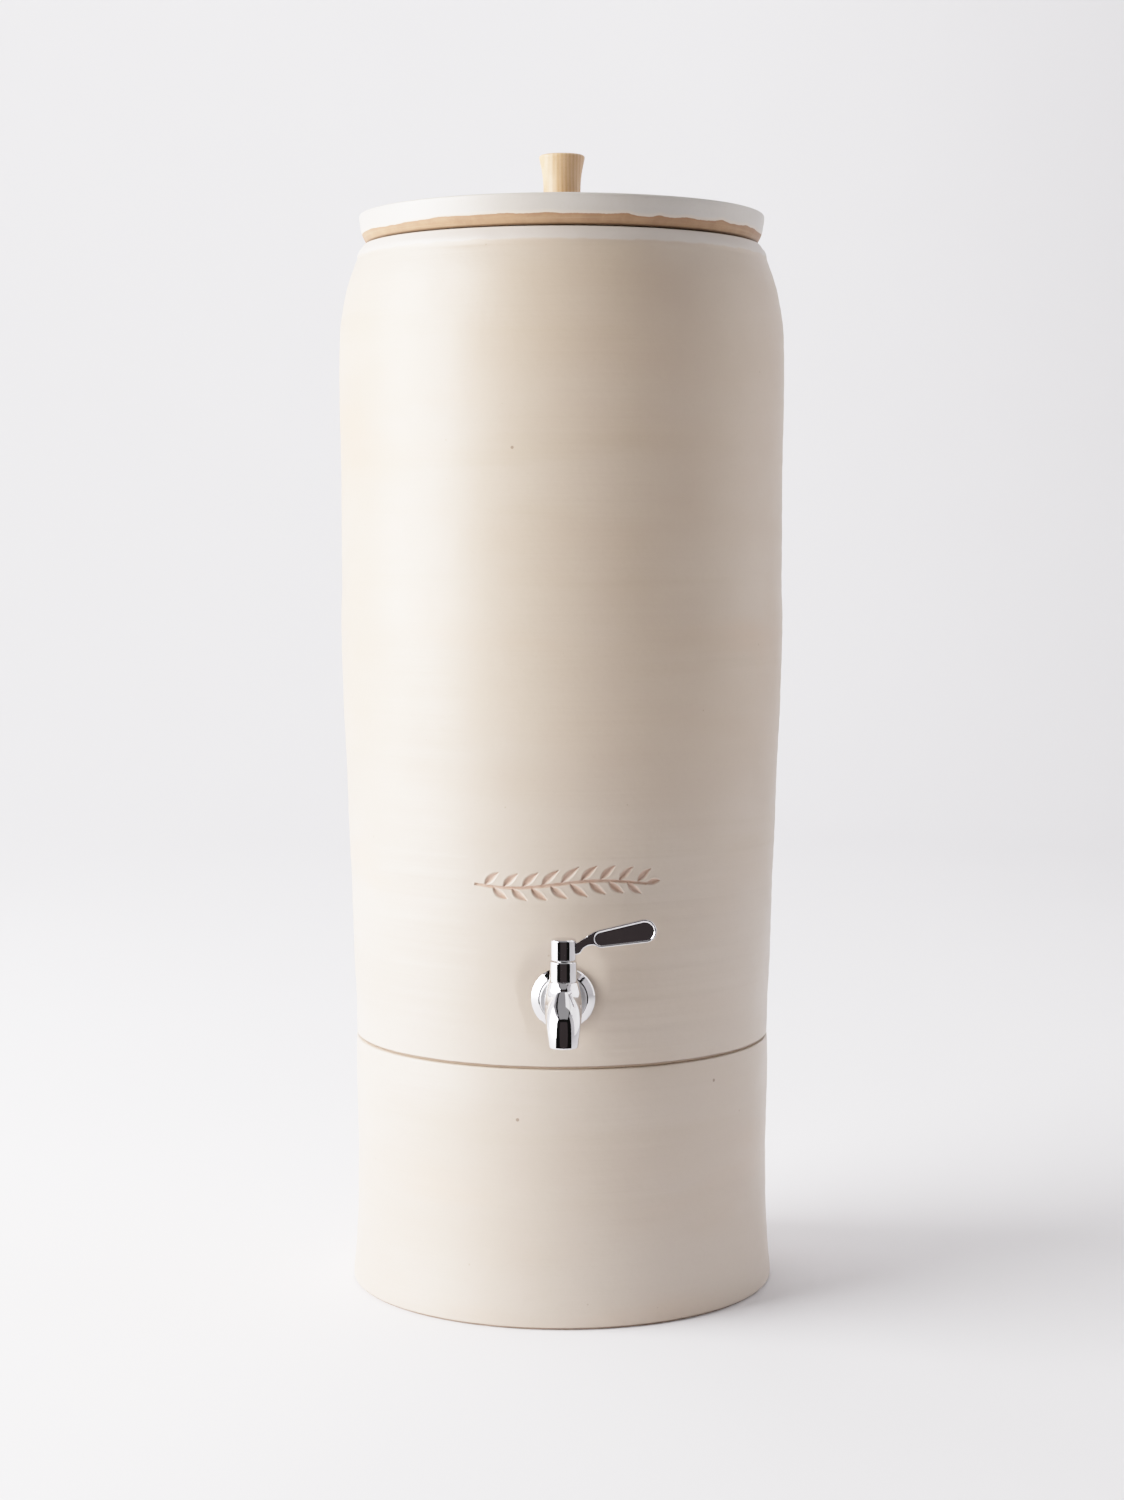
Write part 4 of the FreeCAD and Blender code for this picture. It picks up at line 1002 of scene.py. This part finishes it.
# threaded shank that passes through the wall
length = np.arange(91.9, 121.3, 0.24)
base_r = 7.9 - 0.9 * smoothstep(93.0, 92.0, length)
shank = np.c_[base_r, length]
shank = np.vstack([[3.6, 93.5], [3.6, 92.2], [4.0, 91.8], shank, [4.2, 121.4], [3.6, 121.0]])


def shank_shape(R, Z, TH):
    turn = (Z / 1.5 + TH / TAU) % 1.0
    groove = np.abs(turn - 0.5) * 2.0
    thread = (R > 6.9) * smoothstep(92.4, 93.4, Z) * smoothstep(113.5, 112.5, Z)
    R = R - thread * 0.75 * smoothstep(0.25, 0.9, groove)
    return R, Z, {}


obj = turned("tap_shank", shank, cols=72, shape=shank_shape, closed=True,
             origin=(0, 0, 178), along="-Y")
place(obj, "steel", "chrome", "reservoir", "tap_body")
parts_of_body.append(obj)
for piece in parts_of_body[:-1]:
    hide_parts("tap_body")

bonnet = rounded([(3.7, 190.8, 0), (6.75, 190.8, 0.1), (7.1, 191.1, 0.25),
                  (7.1, 200.95, 0.45), (6.65, 201.5, 0.3), (3.7, 201.5, 0)],
                 n=6, support=0.1)
obj = turned("tap_bonnet_nut", bonnet, cols=160, closed=True, origin=(0, -141, 0))
place(obj, "chrome", "chrome", "reservoir", "tap_bonnet")

cap = rounded([(0, 202.0, 0), (6.35, 202.0, 0.1), (6.7, 202.35, 0.25), (6.7, 212.2, 0.5),
               (6.05, 212.95, 0.4), (3.0, 213.3, 2.0), (0, 213.4, 0)], n=6, support=0.1)
obj = turned("lever_cap", cap, cols=160, origin=(0, -141, 0))
place(obj, "chrome", "chrome", "lever", "lever_handle")
lever_parts = [obj]

A2, B2 = np.array([19.6, 213.2]), np.array([41.95, 217.15])
RA, RB = 4.75, 6.1


def uneven(P2, a, b, ra, rb):
    """Distance to the flat shape swept by a circle that grows from ra to rb."""
    ab = b - a
    h = np.linalg.norm(ab)
    e = ab / h
    q = P2 - a
    py = q @ e
    px = np.abs(q @ np.array([-e[1], e[0]]))
    k = (ra - rb) / h
    c = math.sqrt(1 - k * k)
    t = px * -k + py * c
    d_a = np.hypot(px, py) - ra
    d_b = np.hypot(px, py - h) - rb
    d_m = px * c + py * k - ra
    return np.where(t < 0, d_a, np.where(t > c * h, d_b, d_m))


NECK = [np.array([4.4, 207.6]), np.array([6.6, 208.0]), np.array([9.0, 209.85]),
        np.array([11.6, 211.45]), np.array([14.2, 212.6]), np.array([17.0, 213.3])]
NECK_R = [3.5, 3.1, 2.2, 2.25, 2.9, 3.9]


def lever_field(P):
    flat = np.stack([P[:, 0], P[:, 2]], 1)
    y = P[:, 1] + 141.0
    blade = uneven(flat, A2, B2, RA, RB)
    # square inner end of the paddle's lower edge
    neck = None
    for a, b, ra, rb in zip(NECK[:-1], NECK[1:], NECK_R[:-1], NECK_R[1:]):
        ab = b - a
        t = np.clip(((flat - a) @ ab) / (ab @ ab), 0, 1)
        d = np.linalg.norm(flat - a - t[:, None] * ab, axis=1) - (ra + (rb - ra) * t)
        neck = d if neck is None else np.minimum(neck, d)
    plan = smin(blade, neck, 0.6)
    inset = smoothstep(-0.75, -1.35, blade) * 0.62
    thick = 1.9
    # the front face is very slightly hollow, so that its upper part faces the room above
    front = -y - thick + inset
    back = y - thick
    k = 0.75
    body = smax(plan, smax(front, back, 0.3), k)
    return body


obj = surface("lever_blade", lever_field, (3.0, -143.8, 202.0), (49.2, -138.2, 225.8), 0.27)
place(obj, "chrome", "chrome", "lever")
lever_parts.append(obj)
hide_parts("lever_handle")

# ------------------------------------------------------------------ pieces kept from the frame

KEPT = {
    "tap_outer_washer": "silicone", "tap_inner_washer": "silicone",
    "tap_back_nut": "steel", "valve_seat": "ptfe", "valve_plug": "steel",
    "stem_o_rings": "rubber", "lever_set_screw": "steel", "knob_insert": "brass",
    "knob_screw": "steel", "knob_washer": "steel",
    "candle_shell_left": "candle", "candle_shell_right": "candle",
    "carbon_core_left": "carbon", "carbon_core_right": "carbon",
    "candle_base_left": "plastic", "candle_base_right": "plastic",
    "candle_gasket_left": "rubber", "candle_gasket_right": "rubber",
    "candle_wing_nut_left": "plastic", "candle_wing_nut_right": "plastic",
}
for node, mat in KEPT.items():
    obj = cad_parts[node]
    if len(obj.material_slots) == 0:
        obj.data.materials.append(MAT[mat])
    for s in obj.material_slots:
        s.material = MAT[mat]

# ------------------------------------------------------------------ floor, light, camera


def stage_material():
    look = Look("pale_paper", Roughness=0.9)
    look.b.inputs["Specular IOR Level"].default_value = 0.15
    n = look.noise(3.0, 2, 0.5)
    tint = look.mix(look.remap(n, 0.3, 0.7), (0.945, 0.93, 0.955), (0.955, 0.94, 0.965))
    # the sheet falls off into shade toward the right
    right = look.remap(look.separate()[0], 0.25, 1.6)
    tint = look.mix(right, tint, (0.73, 0.715, 0.735))
    return look.out(Base_Color=tint)


PAPER = stage_material()


def studio_part(name, start, end, rows, light=True, mirrored=True):
    """Part of a round studio between two angles. rows are (radius, height). The
    front can be left out of reflections, so that polished metal keeps dark bands."""
    cols = max(8, int((end - start) / 4))
    verts, faces = [], []
    for (r, z) in rows:
        for c in range(cols + 1):
            a = math.radians(start + (end - start) * c / cols)
            verts.append((r * math.sin(a), -r * math.cos(a), z))
    for i in range(len(rows) - 1):
        for c in range(cols):
            p = i * (cols + 1) + c
            faces.append((p, p + 1, p + cols + 2, p + cols + 1))
    mesh = bpy.data.meshes.new(name)
    mesh.from_pydata(verts, [], faces)
    mesh.polygons.foreach_set("use_smooth", [True] * len(mesh.polygons))
    mesh.materials.append(PAPER)
    obj = bpy.data.objects.new(name, mesh)
    scene.collection.objects.link(obj)
    obj.visible_diffuse = light
    obj.visible_shadow = light
    obj.visible_glossy = mirrored
    return obj


FLOOR = [(r, 0.0) for r in (0.60, 1.2, 1.7, 2.2)]
CURVE = [(2.2 + 1.5 * math.sin(t), 1.5 * (1 - math.cos(t)))
         for t in (math.pi / 2 * k / 18 for k in range(1, 19))] + [(3.7, 5.0)]
studio_part("floor_middle", 0, 360, [(0.0005, 0.0), (0.3, 0.0), (0.60, 0.0)])
studio_part("cove_back", 52, 308, FLOOR + CURVE)
studio_part("floor_front", -52, 52, FLOOR, mirrored=False)
studio_part("cove_front", -52, 52, FLOOR[-1:] + CURVE, light=False, mirrored=False)


def reflected_card(name, corners, strength, colour):
    """A faint glowing card that only shows in reflections."""
    look = Look(name + "_glow", Roughness=1.0)
    look.b.inputs["Base Color"].default_value = (0, 0, 0, 1)
    look.b.inputs["Specular IOR Level"].default_value = 0.0
    look.b.inputs["Emission Color"].default_value = colour
    look.b.inputs["Emission Strength"].default_value = strength
    mesh = bpy.data.meshes.new(name)
    mesh.from_pydata(corners, [], [(0, 1, 2, 3)])
    mesh.materials.append(look.out())
    obj = bpy.data.objects.new(name, mesh)
    scene.collection.objects.link(obj)
    obj.visible_camera = False
    obj.visible_diffuse = False
    obj.visible_transmission = False
    obj.visible_shadow = False
    return obj


reflected_card("card_above", [(-1.6, -2.6, 3.0), (1.6, -2.6, 3.0), (1.6, 1.2, 3.0),
                              (-1.6, 1.2, 3.0)], 0.42, (1.0, 0.98, 1.0, 1.0))
reflected_card("card_front", [(-1.5, -3.0, -0.4), (1.5, -3.0, -0.4), (1.5, -3.0, 2.2),
                              (-1.5, -3.0, 2.2)], 0.045, (1.0, 0.80, 0.82, 1.0))


def area(name, at, aim, wide, tall, power, colour):
    light = bpy.data.lights.new(name, "AREA")
    light.shape = "RECTANGLE"
    light.size, light.size_y = wide, tall
    light.energy = power
    light.color = colour
    obj = bpy.data.objects.new(name, light)
    scene.collection.objects.link(obj)
    obj.visible_camera = False
    obj.location = at
    d = Vector(aim) - Vector(at)
    obj.rotation_euler = d.to_track_quat("-Z", "Y").to_euler()
    return obj


def around_axis(azimuth, distance, height):
    """A point seen at this angle to the right of the front, in metres."""
    a = math.radians(azimuth)
    return (distance * math.sin(a), -distance * math.cos(a), height)


area("key_left", around_axis(-75, 2.0, 0.95), (0, 0, 0.40), 2.0, 1.9, 171,
     (1.0, 1.0, 1.0))
area("side_left", around_axis(-95, 2.0, 0.95), (0, 0, 0.40), 2.0, 1.9, 15,
     (1.0, 1.0, 1.0))
area("rim_right", around_axis(100, 2.0, 0.9), (0, 0, 0.40), 2.0, 1.8, 11,
     (1.0, 0.99, 0.985))
area("top_right", (1.4, 0.2, 2.5), (0.6, 0.2, 0), 1.6, 1.8, 13, (1.0, 0.995, 0.99))
area("back_wash", (-0.9, 1.5, 3.3), (-1.3, 3.4, 0.7), 2.4, 1.0, 84, (1.0, 1.0, 1.0))

world = bpy.data.worlds.new("soft_surround")
scene.world = world
world.use_nodes = True
world.node_tree.nodes["Background"].inputs["Color"].default_value = (0.5, 0.45, 0.43, 1)
world.node_tree.nodes["Background"].inputs["Strength"].default_value = 0.012

cam_data = bpy.data.cameras.new("photo_camera")
cam = bpy.data.objects.new("photo_camera", cam_data)
scene.collection.objects.link(cam)
cam_data.sensor_width = 36.0
cam_data.sensor_fit = "AUTO"
cam_data.lens = 65.556
cam_data.clip_start = 0.05
cam_data.clip_end = 30.0
swing = math.radians(0.3)
cam.location = (-1.5384 * math.sin(swing), -1.5384 * math.cos(swing), 0.4221)
cam.rotation_euler = (math.pi / 2 - 0.0795, 0.0, -swing)
scene.camera = cam

# film-like shoulder, then the plain display transform
scene.view_settings.view_transform = "Standard"
scene.view_settings.look = "None"
scene.view_settings.exposure = 0.0
scene.view_settings.gamma = 1.0
scene.view_settings.use_curve_mapping = True
cm = scene.view_settings.curve_mapping
TOP = 6.0
cm.white_level = (TOP, TOP, TOP)
cm.black_level = (0.0, 0.0, 0.0)
tone = cm.curves[3]
stops = [0.0, 0.15, 0.3, 0.5, 0.75, 1.0, 1.4, 1.9, 2.6, 3.6, 4.8, 6.0]
while len(tone.points) > 2:
    tone.points.remove(tone.points[1])
tone.points[0].location = (0.0, 0.0)
tone.points[-1].location = (1.0, 1.0 - math.exp(-1.05 * TOP))
for x in stops[1:-1]:
    tone.points.new(x / TOP, 1.0 - math.exp(-1.05 * x))
cm.update()
